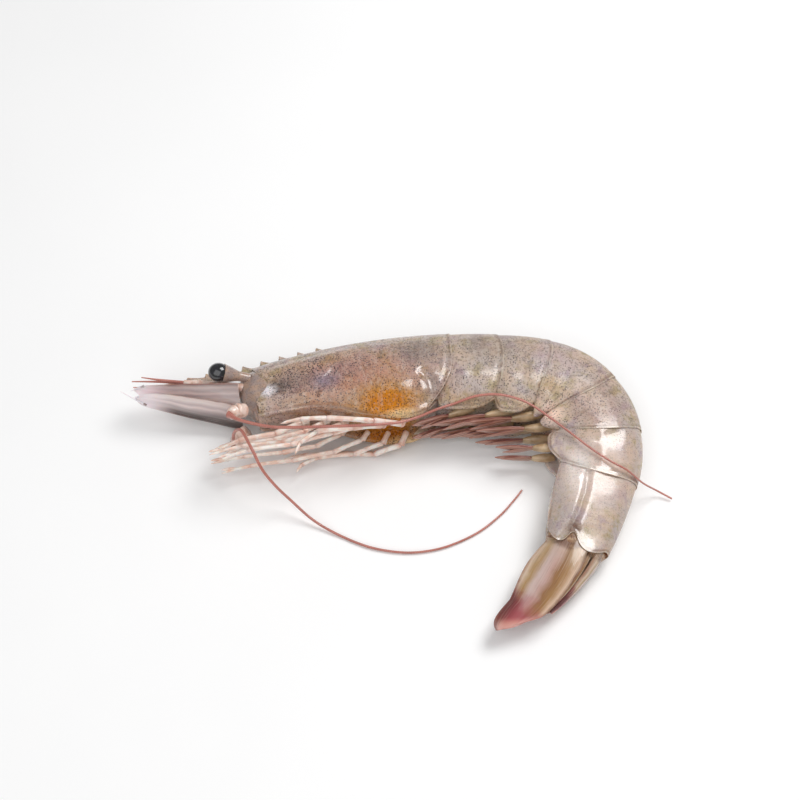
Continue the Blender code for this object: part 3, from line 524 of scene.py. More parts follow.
def build_rostrum(shape):
    """The saw-toothed spike, a thin blade that grows out of the ridge of the back."""
    pitch = (ROSTRUM_ROOT + ROSTRUM_REACH - ROSTRUM_BARE) / ROSTRUM_TEETH
    s = np.linspace(ROSTRUM_ROOT + ROSTRUM_SUNK, -ROSTRUM_REACH, 260)
    phase = np.clip((ROSTRUM_ROOT - s) / pitch, 0.0, ROSTRUM_TEETH)
    part = phase - np.minimum(np.floor(phase), ROSTRUM_TEETH - 1)
    rise = np.clip(part / ROSTRUM_TOOTH_RISE, 0.0, 1.0) ** ROSTRUM_TOOTH_CURVE
    drop = np.clip((part - ROSTRUM_TOOTH_RISE) / (1.0 - ROSTRUM_TOOTH_RISE), 0.0, 1.0)
    tooth = np.where(s < ROSTRUM_ROOT, rise * (1.0 - drop), 0.0)
    on_shell = smooth(HEAD_ROWS, np.maximum(s, 0.0) / HEAD_LENGTH)[0]
    ridge = np.where(s > 0, on_shell, HEAD_ROWS[2][1] + 0.04 * s)
    ahead = np.maximum(0.0, -s) / ROSTRUM_REACH
    slim = 1.0 - ROSTRUM_SLIM * ahead
    tip_close = np.clip((ROSTRUM_REACH + s) / 0.005, 0.03, 1.0)
    foot = ridge - (ROSTRUM_DEPTH + ROSTRUM_BELLY * np.sin(math.pi * ahead)) * slim * tip_close
    tip = ridge + (0.0005 + ROSTRUM_TOOTH_HEIGHT * tooth) * slim * tip_close
    tip = tip - ROSTRUM_DIP * step((s - ROSTRUM_ROOT) / ROSTRUM_SUNK)
    half = ROSTRUM_HALF_THICKNESS * slim * (0.35 + 0.65 * tip_close)
    angle = np.linspace(0.0, 2.0 * math.pi, 24, endpoint=False)[None, :]
    up = np.cos(angle)
    width = np.sign(np.sin(angle)) * np.abs(np.sin(angle)) ** 0.8 * (0.62 - 0.38 * up)
    middle, reach = (tip + foot)[:, None] / 2, (tip - foot)[:, None] / 2
    dorsal = middle + reach * up
    left = half[:, None] * width
    s = s[:, None] + dorsal * 0.0
    shape.loft(place(s, dorsal, left), np.stack((s, dorsal, left), -1) / MM)


# Thin blades

LEAF_RINGS = 90
LEAF_POINTS = 56


def leaf_width(t, widest, root, blunt, end):
    """Half width of a leaf, as a share of the greatest: its root, how blunt its tip is, its end."""
    grow = root + (1.0 - root) * np.sin(np.clip(math.pi / 2 * t / widest, 0.0, math.pi / 2))
    fall = np.sqrt(np.clip(1.0 - np.clip((t - widest) / (1.0 - widest), 0.0, 1.0) ** blunt, 0.0, 1.0))
    return np.where(t < widest, grow, np.maximum(end, fall))


def ribbed(x, ribs):
    """Height of the ribs and grooves of a leaf: rows of where each lies across it, half width, height."""
    return sum(height * np.exp(-(((x - at) / width) ** 2)) for at, width, height in ribs)


def leaf(shape, spot):
    """Adds a thin leaf. spot gives world points from t along it, x across it and face through it."""
    t = 1.0 - (1.0 - np.linspace(0.0, 1.0, LEAF_RINGS)[:, None]) ** 1.35
    angle = np.linspace(0.0, 2.0 * math.pi, LEAF_POINTS, endpoint=False)[None, :]
    x = np.sign(np.cos(angle)) * np.abs(np.cos(angle)) ** 0.8
    face = np.sin(angle)
    t, x, face = np.broadcast_arrays(t, x, face)
    shape.loft(spot(t, x, face), np.stack((t, x, face), -1))


SCALE_ROOT = -0.0034  # s
SCALE_LENGTH = 0.0225
# Share of its length: its inner and its outer edge, across from the middle plane
SCALE_ROWS = (
    (0.00, -0.0004, 0.0060),
    (0.15, -0.0012, 0.0053),
    (0.35, -0.0017, 0.0043),
    (0.60, -0.0022, 0.0032),
    (0.80, -0.0020, 0.0024),
    (0.92, -0.0013, 0.0018),
    (1.00, -0.0003, 0.0008),
)
SCALE_LEAN = math.radians(24.0)  # their plane's left edge is turned up towards the back
SCALE_LEVELS = (-0.0030, 0.0032)  # height over the midline at the root and at the end
SCALE_SPLIT = (0.0002, 0.0007)  # how far the left one lies above the middle, at the root and further out
SCALE_ARCH = 0.0006  # how far its edges bend down
SCALE_RIPPLE = 0.00012
BLADE_HALF_THICKNESS = 0.00045
# Ribs and grooves across a scale from its inner edge to its outer one, as shares of its thickness
SCALE_RIBS = ((0.92, 0.12, 0.45), (0.30, 0.13, 0.42), (0.58, 0.16, -0.30), (-0.25, 0.10, 0.22))


def scale_spot(side, t, x, face):
    """World points of an antennal scale: a stiff outer edge, a rib along it and a thin inner part."""
    s = SCALE_ROOT - t * SCALE_LENGTH
    inner, outer = smooth(SCALE_ROWS, t)
    aside = (inner + outer) / 2 + x * (outer - inner) / 2 * (1.0 - 0.7 * step((t - 0.96) / 0.04))
    ribs = 1.0 + ribbed(x, SCALE_RIBS) * (1.0 - 0.75 * t)
    thick = BLADE_HALF_THICKNESS * (1.0 - 0.45 * x * x) * (1.0 - 0.55 * t) * ribs
    above = SCALE_LEVELS[0] + (SCALE_LEVELS[1] - SCALE_LEVELS[0]) * t - SCALE_ARCH * x * x
    above = above + side * (SCALE_SPLIT[0] + SCALE_SPLIT[1] * np.minimum(1.0, 2.0 * t))
    above = above + SCALE_RIPPLE * np.sin(9.0 * t + 3.0 * x) * (1.0 - x * x)
    across = side * aside
    dorsal = above + across * math.sin(SCALE_LEAN) + face * thick * math.cos(SCALE_LEAN)
    left = across * math.cos(SCALE_LEAN) - face * thick * math.sin(SCALE_LEAN)
    return place(s, dorsal, left)


SPINE_SPAN = (0.90, 0.99)  # shares of the scale's length between which it leaves the edge
SPINE_ACROSS = 0.80
SPINE_REACH = {1: 0.0012, -1: 0.0040}  # beyond the left and the right scale's end
SPINE_RADII = (0.00031, 0.00005)


def build_scale(shape, side):
    """An antennal scale, with the fine spine at the end of its stiff outer edge."""
    leaf(shape, lambda t, x, face: scale_spot(side, t, x, face))
    root, end = (scale_spot(side, np.array(t), np.array(SPINE_ACROSS), 0.0) for t in SPINE_SPAN)
    run = (end - root) / np.linalg.norm(end - root)
    t = np.linspace(0.0, 1.0, 12)
    path = root + (end - root + run * SPINE_REACH[side]) * t[:, None]
    size = np.linspace(*SPINE_RADII, 12)
    limb(shape, path, size, size, sides=8)


# Each blade's middle and half width in degrees about the tail's axis, share of the arch, and length
TAIL_BLADES = {"inner": (64.0, 20.0, 0.76, 0.0138), "outer": (108.0, 46.0, 1.00, 0.0216)}
TAIL_ARCH = (0.0070, 0.0037)  # the folded fan's arch: half height and half width
TAIL_SLANT = 0.22  # how much further a blade reaches along its edge nearer to the belly, as a share
TAIL_SPREAD = 0.28  # how much further out a blade bulges along that edge, as a share
RIGHT_TAIL_SHARE = 0.78  # the right blades reach less far than the left ones
TAIL_CLOSE = 0.50  # how much thinner the folded fan is at its end, as a share
TAIL_DROOP = (0.14, 0.22)  # how far the fan sinks in to its end: everywhere, and more towards the back
TAIL_ROUND = 0.04  # how far its end bulges out in the middle, as a share
TAIL_CORNER = 0.07  # how much its end is cut back at the corner towards the back, as a share
TAIL_END_WIDTH = 0.52  # how wide a blade still is at its end, on the side of the back
TAIL_TUCK = 0.0012  # how far a blade's root is tucked into the soft joint
TAIL_GAP = 0.0004  # from the last ring to where a blade has its full size
TAIL_LIFT = 0.0003  # of the arch's middle over the midline
TAIL_RIBS = ((0.08, 0.09, 0.55), (-0.40, 0.09, 0.35), (-0.95, 0.07, 0.45), (0.95, 0.07, 0.45),
             (-0.16, 0.10, -0.45), (0.36, 0.16, -0.40))
TELSON_LENGTH = 0.0150
TELSON_HALF_WIDTH = 0.0024
TELSON_TOP = (0.0062, 0.0030)  # its back's height over the tail's axis, at its root and at its end
TELSON_THICKNESS = 0.0018
TELSON_TAPER = 0.84  # how much narrower it is at its end, as a share
TELSON_GROOVE = 0.22  # depth of the groove down its back, as a share of its half thickness


def tail_spot(side, centre_deg, half_deg, layer, length, t, x, face):
    """World points of a blade of the folded fan, which lies on an arch about the tail's axis."""
    near = leaf_width(t, 0.6, 0.9, 3.5, TAIL_END_WIDTH)
    far = leaf_width(t, 0.65, 0.9, 2.8, 0.3 - 0.2 * t)
    angle = side * np.radians(centre_deg + x * half_deg * np.where(x > 0, far, near))
    ribs = 1.0 + ribbed(x, TAIL_RIBS) * (1.0 - 0.7 * t)
    thick = BLADE_HALF_THICKNESS * (1.0 - 0.4 * x * x) * (1.0 - 0.45 * t) * ribs
    thick = thick * (0.12 + 0.88 * step((1.0 - t) / 0.22))
    droop = 1.0 - (TAIL_DROOP[0] + TAIL_DROOP[1] * (1.0 - x) / 2.0) * t
    spread = 1.0 + TAIL_SPREAD * (x + 1.0) / 2.0 * np.sin(math.pi * np.clip(t / 0.7, 0.0, 1.0))
    dorsal = TAIL_LIFT + (TAIL_ARCH[0] * spread * layer + face * thick) * np.cos(angle) * droop
    left = (TAIL_ARCH[1] * layer + face * thick) * np.sin(angle) * (1.0 - TAIL_CLOSE * t**1.5)
    reach = length * (1.0 + TAIL_SLANT * (x + 1.0) / 2.0 + TAIL_ROUND * (1.0 - x * x))
    reach = reach * (1.0 if side > 0 else RIGHT_TAIL_SHARE)
    corner = TAIL_CORNER * np.clip(-x, 0.0, 1.0) ** 2 * step((t - 0.70) / 0.30)
    s = TAIL_START - TAIL_TUCK * (1.0 - step(t / 0.05)) + TAIL_GAP + (t - corner) * reach
    return place(s + rim_bow(6, dorsal) * (1.0 - t), dorsal, left)


def build_tail_blade(shape, side, kind):
    """An inner or an outer blade of the tail fan."""
    leaf(shape, lambda t, x, face: tail_spot(side, *TAIL_BLADES[kind], t, x, face))


JOINT_SIZE = 0.925  # the soft joint's, as a share of the last ring's rim
JOINT_LENGTH = 0.0050
JOINT_REACH = 0.0011  # how far it reaches past the ring
JOINT_PUCKER = 0.00006
JOINT_DROP = 0.0002


def build_joint(shape):
    """The soft joint that closes the last ring's end, where the tail fan is hinged."""
    t = np.linspace(0.0, 1.0, 36)
    s = TAIL_START + JOINT_REACH - JOINT_LENGTH * (1.0 - t)
    size = JOINT_SIZE - 0.04 * t - 0.40 * step((t - 0.72) / 0.28) ** 2
    top, belly, half_width = ABDOMEN_ROWS[-1][1:]
    level = np.full_like(t, WIDEST_LEVEL)
    half = half_ring(top * size, level, belly * size, half_width * size, np.full_like(t, JOINT_DROP))
    dorsal, left = both_sides(*half)
    s = s[:, None] + rim_bow(6, dorsal)
    points = place(s, dorsal, left)
    pucker = JOINT_PUCKER * np.sin(dorsal / 0.0006) * np.sin(s / 0.0007)
    points += outward(points) * pucker[..., None]
    shape.loft(lay_down(points), np.stack((s, dorsal, left), -1) / MM)


def build_telson(shape):
    """The tail's pointed mid piece: a tapering wedge with a groove down its back."""
    t = np.linspace(-0.06, 1.0, 80)[:, None]
    angle = np.linspace(0.0, 2.0 * math.pi, 40, endpoint=False)[None, :]
    half_width = TELSON_HALF_WIDTH * (1.0 - TELSON_TAPER * np.clip(t, 0.0, 1.0) ** 1.25)
    half_width = half_width * np.clip((1.0 - t) / 0.05, 0.1, 1.0) ** 0.5
    top = TELSON_TOP[0] + (TELSON_TOP[1] - TELSON_TOP[0]) * t
    thick = TELSON_THICKNESS * (1.0 - 0.6 * t)
    left = half_width * np.sin(angle)
    rise = np.cos(angle)
    groove = TELSON_GROOVE * np.exp(-((np.sin(angle) / 0.22) ** 2)) * (rise > 0)
    dorsal = top - thick * 0.5 + thick * 0.5 * (rise - groove) - thick * 0.25 * np.sin(angle) ** 2
    s = TAIL_START + TAIL_GAP + t * TELSON_LENGTH
    s = s + rim_bow(6, dorsal) * (1.0 - t)
    spots = np.stack(np.broadcast_arrays(t, np.sin(angle), rise), -1)
    shape.loft(place(s, dorsal, left), spots)


# Limbs


def limb(shape, points, up, through, along=0.0, sides=14, tone=0.0):
    """Adds a limb through world points, with half sizes up and through. Returns the length at its end."""
    points = np.asarray(points, float)
    run = np.gradient(points, axis=0)
    run /= np.linalg.norm(run, axis=1, keepdims=True)
    sideways = np.stack((-run[:, 1], run[:, 0], np.zeros(len(run))), -1)
    sideways /= np.maximum(np.linalg.norm(sideways, axis=1, keepdims=True), 1e-9)
    over = np.cross(run, sideways)
    over[over[:, 2] < 0] *= -1.0
    angle = np.linspace(0.0, 2.0 * math.pi, sides, endpoint=False)
    ring = (
        points[:, None, :]
        + over[:, None, :] * (np.sin(angle)[None, :] * np.asarray(up)[:, None])[..., None]
        + sideways[:, None, :] * (np.cos(angle)[None, :] * np.asarray(through)[:, None])[..., None]
    )
    length = np.concatenate(([0.0], np.cumsum(np.linalg.norm(np.diff(points, axis=0), axis=1)))) / MM
    spots = np.stack(np.broadcast_arrays(along + length[:, None], np.sin(angle)[None, :], tone), -1)
    shape.loft(lay_down(ring), spots)
    return along + length[-1]


def spread_between(a, b, count, sag=0.0):
    """Points from a to b, bowed up by sag in the middle."""
    t = np.linspace(0.0, 1.0, count)[:, None]
    points = np.asarray(a) * (1.0 - t) + np.asarray(b) * t
    points[:, 2] += sag * np.sin(math.pi * t[:, 0])
    return points


# Thickness of a leg's article along its length, as a share
ARTICLE = ((0.0, 0.62), (0.04, 0.86), (0.16, 0.94), (0.5, 0.86), (0.86, 1.0), (0.96, 1.08), (1.0, 0.96))
ARTICLE_RINGS = 18

# s of each leg's root on the underside, then each joint as (s, dorsal)
LEG_PATHS = {
    "mouth_leg": (0.0110, (0.0035, -0.0120), (-0.0045, -0.0126), (-0.0098, -0.0146)),
    "walking_leg_1": (0.0155, (0.0098, -0.0130), (0.0030, -0.0142), (-0.0030, -0.0146), (-0.0074, -0.0162)),
    "walking_leg_2": (0.0195, (0.0122, -0.0146), (0.0046, -0.0158), (-0.0040, -0.0156), (-0.0110, -0.0168)),
    "walking_leg_3": (0.0240, (0.0160, -0.0156), (0.0066, -0.0174), (-0.0028, -0.0176), (-0.0090, -0.0192)),
    "walking_leg_4": (0.0285, (0.0205, -0.0156), (0.0125, -0.0156), (0.0085, -0.0180), (0.0072, -0.0206)),
    "walking_leg_5": (0.0325, (0.0250, -0.0150), (0.0150, -0.0134), (0.0092, -0.0130), (0.0048, -0.0136)),
}
RIGHT_LEG_HANG = 0.62  # the right legs hang less far below the belly, as a share of the left ones
LEG_LANE_FIRST = 0.0010  # distance of the innermost leg from the middle plane
LEG_LANE_STEPS = {1: 0.0013, -1: 0.00115}  # from leg to leg, on the left side and on the right
LEG_RADII = (0.00058, 0.00056, 0.00052, 0.00044, 0.00026)
LEG_STOUT = {"mouth_leg": 1.45, "walking_leg_5": 1.30}  # thickness, as a share of those radii
OTHER_LEGS_STOUT = 1.12
LEG_GAP = 0.0003  # from a leg's root to the belly
LEG_CLEARANCE = 0.0012  # from the lower edge of the head shell to the legs that pass under it
PINCER_LEGS = ("walking_leg_1", "walking_leg_2", "walking_leg_3")
# The thumb of a pincer: back from the leg's tip, and aside, then its radius by knot
THUMB_KNOTS = ((0.00375, 0.0), (0.0018, 0.0006), (0.0, 0.00078))
THUMB_RADII = ((0, 0.00034), (1, 0.00036), (1.7, 0.00024), (2, 0.00005))


def leg_points(kind, side, lane):
    """World points of a leg: from the belly, under the shell's edge, and out to its own lane."""
    root, *joints = LEG_PATHS[kind]
    reach = LEG_LANE_FIRST + lane * LEG_LANE_STEPS[side]
    _, _, edge, _, drop = (float(v) for v in smooth(HEAD_ROWS, root / HEAD_LENGTH))
    base = -(edge - drop + BELLY_BULGE + LEG_GAP + LEG_RADII[0])
    under = -(edge + LEG_CLEARANCE)
    inner = max(reach * 0.42, LEG_RADII[0] + LEG_GAP)
    points = [place(root, base, side * inner), place(root - 0.0015, under, side * max(reach * 0.6, inner))]
    for s, dorsal in joints:
        hang = under + (dorsal - under) * (1.0 if side > 0 else RIGHT_LEG_HANG)
        points.append(place(s, hang, side * reach))
    return points


def build_leg(shape, kind, side, lane):
    """A jointed leg: each article widens to its end, and some legs end in small pincers."""
    points = leg_points(kind, side, lane)
    stout = LEG_STOUT.get(kind, OTHER_LEGS_STOUT)
    radii = [stout * radius for radius in LEG_RADII[:1] * (len(points) - 4) + LEG_RADII[-4:]]
    along = 0.0
    t = np.linspace(0.0, 1.0, ARTICLE_RINGS)
    for i in range(len(points) - 1):
        path = spread_between(points[i], points[i + 1], ARTICLE_RINGS, 0.0002)
        size = (radii[i] + (radii[i + 1] - radii[i]) * t) * smooth(ARTICLE, t)[0]
        if i == len(points) - 2:
            size = size * np.clip((1.0 - t) / 0.25, 0.06, 1.0) ** 0.6
        run = points[i + 1] - points[i]
        path[-1] += run / np.linalg.norm(run) * 0.0001
        flat = 0.86 if i > 0 else 1.0
        along = limb(shape, path, size, size * flat, along, tone=(2.0 * t[:, None] - 1.0) ** 6)
    if kind in PINCER_LEGS:
        back = (points[-2] - points[-1]) / np.linalg.norm(points[-2] - points[-1])
        aside = np.array((-back[1], back[0], 0.0))
        knots = [(k, *(points[-1] + back * b + aside * a)) for k, (b, a) in enumerate(THUMB_KNOTS)]
        t = np.linspace(0.0, 2.0, 14)
        size = smooth(THUMB_RADII, t)[0]
        limb(shape, np.stack(smooth(knots, t), -1), size, size, along - 3.0, sides=10, tone=0.3)


# Stalk length, blade length, swing from straight down towards the head in degrees, half width
SWIMMERETS = (
    (0.0052, 0.0082, 71.0, 0.0015),
    (0.0060, 0.0120, 70.0, 0.0015),
    (0.0060, 0.0115, 50.0, 0.0014),
    (0.0056, 0.0104, 17.0, 0.0012),
    (0.0046, 0.0080, -5.0, 0.0010),
)
SWIMMERET_SHARE = 0.45  # of the section's length, at the root
SWIMMERET_LEFT = 0.34  # root from the middle plane, as a share of the half width
SWIMMERET_GAP = 0.0010  # from the root's middle to the belly
# Along a stalk and a blade: width as a share of the half width, and half thickness in metres
STALK_WIDE = ((-0.06, 0.6), (0.0, 0.75), (0.35, 1.0), (0.75, 0.88), (1.0, 0.66), (1.06, 0.3))
STALK_DEEP = ((-0.06, 0.0007), (0.35, 0.0010), (0.75, 0.0008), (1.06, 0.0004))
BLADE_WIDE = ((-0.05, 0.4), (0.1, 0.8), (0.4, 1.0), (0.7, 0.82), (0.9, 0.42), (1.0, 0.05))
BLADE_DEEP = ((-0.05, 0.0004), (0.12, 0.00042), (0.7, 0.0003), (1.0, 0.00012))
# Outer and inner blade: degrees that it bends up from the stalk, its length and its width as shares of
# the outer one's, and how far its end shifts in towards the middle plane
SWIMMERET_BLADES = ((4.0, 1.0, 1.0, 0.0), (-3.0, 0.82, 0.7, 0.0007))


def direction(heading):
    """The level unit vector of a heading."""
    return np.array((math.cos(heading), math.sin(heading), 0.0))


def build_swimmeret(shape, number, side):
    """A swimming leg: a stout stalk with a long flat outer blade and a shorter inner one beside it."""
    stalk, length, swing, half_width = SWIMMERETS[number - 1]
    s = SECTION_START[number] + SWIMMERET_SHARE * SECTION_LENGTHS[number]
    _, belly, flank = (float(v) for v in smooth(ABDOMEN_ROWS, number - 1 + SWIMMERET_SHARE))
    root = place(s, -(belly + BELLY_BULGE + SWIMMERET_GAP), side * SWIMMERET_LEFT * flank)
    down = float(midline(s)[2]) - math.pi / 2
    towards = direction(down - math.radians(swing))
    t = np.linspace(STALK_WIDE[0][0], STALK_WIDE[-1][0], 24)
    wide, deep = smooth(STALK_WIDE, t)[0] * half_width, smooth(STALK_DEEP, t)[0]
    along = limb(shape, root + towards * (stalk * t)[:, None], wide, deep, tone=1.0, sides=20)
    t = np.linspace(BLADE_WIDE[0][0], BLADE_WIDE[-1][0], 44)
    wide, deep = smooth(BLADE_WIDE, t)[0] * half_width, smooth(BLADE_DEEP, t)[0]
    for bend, share, size, shift in SWIMMERET_BLADES:
        run = direction(down - math.radians(swing + bend))
        path = root + towards * stalk + run * (length * share * t)[:, None]
        path[:, 2] -= shift * side * np.sin(np.clip(t, 0, 1) * math.pi / 2)
        limb(shape, path, wide * size, deep * size, along, sides=20)


# Head pieces

EYE_RADIUS = 0.0023
EYE_SHARES = np.array((1.0, 0.92, 0.86))  # of that radius, along x, y and z
EYE_CENTRE = (-0.0072, 0.0029, 0.0047)  # s, dorsal, left
EYE_STALK_ROOT = (-0.0008, 0.0020, 0.0023)
EYE_STALK_RADII = ((0.0, 0.0011), (0.35, 0.0011), (0.6, 0.0016), (0.86, 0.0021))
ANTENNA_RADII = (0.0016, 0.0017, 0.0012, 0.00042)  # the stout base, up to where the whip leaves it
ANTENNA_TIP_RADIUS = 0.00023
ANTENNA_JOINT = ((0.0, 0.80), (0.12, 0.98), (0.5, 1.0), (0.88, 1.06), (1.0, 0.86))
ANTENNA_BASE = ((-0.0024, -0.0066, 0.0032), (-0.0044, -0.0073, 0.0044), (-0.0058, -0.0083, 0.0050))
RIGHT_BASE_DROP = 0.0012  # the right feeler's base lies further from the back, below the scale
WHIP_RINGS = 300
WHIP_SHARE = 0.86  # of the solid's radius
WHIP_COLLAR = 0.00095  # radius where a whip leaves its base
ANTENNULE_BASE = (
    (-0.0010, 0.0000, 0.0013),
    (-0.0080, 0.0017, 0.0013),
    (-0.0120, 0.0029, 0.0012),
    (-0.0150, 0.0036, 0.0011),
)
ANTENNULE_RADII = (0.0012, 0.0011, 0.0009, 0.0006)
ANTENNULE_WHIPS = ((0.0004, 0.0262), (0.0016, 0.0240))  # spread to the side, and reach ahead


def build_eyeball(shape, side):
    """The flattened ball of an eye, as a closed tube of rings from pole to pole."""
    centre = place(EYE_CENTRE[0], EYE_CENTRE[1], side * EYE_CENTRE[2])
    theta = np.linspace(0.02, math.pi - 0.02, 36)[:, None]
    phi = np.linspace(0.0, 2.0 * math.pi, 56, endpoint=False)[None, :]
    sides = (np.sin(theta) * np.cos(phi), np.sin(theta) * np.sin(phi), np.cos(theta))
    unit = np.stack(np.broadcast_arrays(*sides), -1)
    shape.loft(centre + unit * EYE_RADIUS * EYE_SHARES, unit)


def build_eyestalk(shape, side):
    """The short stalk that widens into the cup of an eye."""
    root, centre = (place(s, dorsal, side * left) for s, dorsal, left in (EYE_STALK_ROOT, EYE_CENTRE))
    t = np.linspace(0.0, EYE_STALK_RADII[-1][0], 16)
    size = smooth(EYE_STALK_RADII, t)[0]
    limb(shape, root + (centre - root) * t[:, None], size, size, sides=28)


def catmull(points, count):
    """Points spread evenly along the smooth curve through the given ones."""
    points = np.asarray(points, float)
    padded = np.concatenate((points[:1], points, points[-1:]))
    t = np.linspace(0.0, 1.0, 20, endpoint=False)[:, None]
    fine = []
    for a, b, c, d in zip(padded, padded[1:], padded[2:], padded[3:]):
        turn = (2 * a - 5 * b + 4 * c - d) * t**2 + (3 * b - a - 3 * c + d) * t**3
        fine.append(0.5 * (2 * b + (c - a) * t + turn))
    fine = np.concatenate(fine + [points[-1:]])
    reach = np.concatenate(([0.0], np.cumsum(np.linalg.norm(np.diff(fine, axis=0), axis=1))))
    at = np.linspace(0.0, reach[-1], count)
    return np.stack([np.interp(at, reach, fine[:, k]) for k in range(3)], -1)


def beside(x, y, z):
    """A point x and y from the eye socket, seen from above, and z above the surface."""
    return np.array((SOCKET[0] + x, SOCKET[1] + y, z))


FLANK_LIFT = 0.0009  # from the flank to the middle of the whip that lies on it


def on_flank(s, dorsal):
    """A point resting on the left flank."""
    number = max(k for k in range(7) if SECTION_START[k] <= s)
    share = (s - SECTION_START[number]) / SECTION_LENGTHS[number]
    if number == 0:
        top, level, edge, half_width, _ = (float(v) for v in smooth(HEAD_ROWS, share))
    else:
        top, belly, half_width = (float(v) for v in smooth(ABDOMEN_ROWS, number - 1 + share))
        level, edge = WIDEST_LEVEL, belly + SIDE_PLATE_DROPS[number - 1]
    if dorsal > level:
        left = half_width * math.sqrt(max(0.0, 1.0 - ((dorsal - level) / (top - level)) ** 2))
    else:
        below = min(1.0, (level - dorsal) / (edge + level))
        left = half_width * (1.0 - LOWER_DRAW_IN * below**LOWER_FULLNESS)
    return place(s, dorsal, left + FLANK_LIFT)


# The whips' routes: spots on the body, spots on the left flank as (s, dorsal), and points beside the body
LEFT_OVER_LEGS = (
    (-0.0040, -0.0106, 0.0062), (0.0020, -0.0136, 0.0070), (0.0080, -0.0150, 0.0077),
    (0.0156, -0.0158, 0.0080), (0.0233, -0.0166, 0.0086), (0.0300, -0.0158, 0.0074),
    (0.0345, -0.0143, 0.0066),
)
LEFT_OVER_FLANK = (
    (0.0389, -0.0126), (0.0430, -0.0112), (0.0478, -0.0098), (0.0526, -0.0094), (0.0577, -0.0099),
    (0.0619, -0.0108), (0.0758, -0.0106), (0.0841, -0.0074), (0.0889, -0.0024), (0.0908, 0.0020),
)
LEFT_OFF_BACK = (
    (0.0913, 0.0060, 0.0052), (0.0910, 0.0098, 0.0006), (0.0902, 0.0132, -0.0036),
    (0.0906, 0.0166, -0.0046),
)
RIGHT_UNDER_HEAD = (
    (-0.0058, -0.0104, -0.0020), (-0.0054, -0.0108, 0.0014), (-0.0044, -0.0118, 0.0042),
)
RIGHT_IN_AIR = (
    (-0.0015, -0.0140, 0.0136), (0.0006, -0.0184, 0.0142), (0.0027, -0.0217, 0.0115),
    (0.0053, -0.0236, 0.0080), (0.0083, -0.0249, 0.0042), (0.0133, -0.0284, 0.0014),
)
RIGHT_ON_SURFACE = (
    (0.0189, -0.0315), (0.0253, -0.0343), (0.0317, -0.0355), (0.0369, -0.0353), (0.0422, -0.0339),
    (0.0482, -0.0308), (0.0530, -0.0267), (0.0561, -0.0230), (0.0579, -0.0205),
)


def whip_route(side):
    """World points of a long feeler's whip."""
    if side > 0:
        return (
            [place(*spot) for spot in LEFT_OVER_LEGS]
            + [on_flank(*spot) for spot in LEFT_OVER_FLANK]
            + [place(*spot) for spot in LEFT_OFF_BACK]
        )
    return (
        [place(*spot) for spot in RIGHT_UNDER_HEAD]
        + [beside(*spot) for spot in RIGHT_IN_AIR]
        + [beside(x, y, ANTENNA_RADII[3]) for x, y in RIGHT_ON_SURFACE]
    )


def build_antenna(shape, side):
    """A feeler: two stout base joints, and a long whip that tapers to its end."""
    lower = 0.0 if side > 0 else RIGHT_BASE_DROP
    base = [place(s, dorsal - lower, side * left) for s, dorsal, left in ANTENNA_BASE]
    t = np.linspace(0.0, 1.0, 16)
    for i in (0, 1):
        size = ANTENNA_RADII[i] + (ANTENNA_RADII[i + 1] - ANTENNA_RADII[i]) * t
        size = size * smooth(ANTENNA_JOINT, t)[0]
        limb(shape, spread_between(base[i], base[i + 1], 16), size, size * 0.92, tone=1.0, sides=28)
    route = catmull([base[-1]] + whip_route(side), WHIP_RINGS)
    size = np.linspace(ANTENNA_RADII[3], ANTENNA_TIP_RADIUS, WHIP_RINGS) * WHIP_SHARE
    size = size + (WHIP_COLLAR - size[0]) * np.exp(-np.arange(WHIP_RINGS) / 3.0)
    limb(shape, route, size, size, sides=12)


ANTENNULE_WHIP_MIDDLE = (-0.0205, 0.0045, 0.0010)
ANTENNULE_TIP = (0.0054, 0.0008)  # dorsal and left place of the whips' ends
ANTENNULE_WHIP_RADII = (0.00042, 0.00012)


def build_antennule(shape, side):
    """A short feeler between the scales: a jointed base that ends in two thin whips."""
    base = [place(s, dorsal, side * left) for s, dorsal, left in ANTENNULE_BASE]
    t = np.linspace(0.0, 1.0, 14)
    for i, (near, far) in enumerate(zip(ANTENNULE_RADII, ANTENNULE_RADII[1:])):
        size = (near + (far - near) * t) * smooth(ARTICLE, t)[0]
        limb(shape, spread_between(base[i], base[i + 1], 14), size, size, tone=1.0, sides=18)
    for spread, reach in ANTENNULE_WHIPS:
        s, dorsal, left = ANTENNULE_WHIP_MIDDLE
        middle = place(s, dorsal, side * (left + spread * 0.7))
        tip = place(-reach, ANTENNULE_TIP[0], side * (ANTENNULE_TIP[1] + spread))
        route = catmull([base[-1] + (base[-2] - base[-1]) * 0.3, middle, tip], 40)
        size = np.linspace(*ANTENNULE_WHIP_RADII, 40)
        limb(shape, route, size, size, sides=10)


# Materials


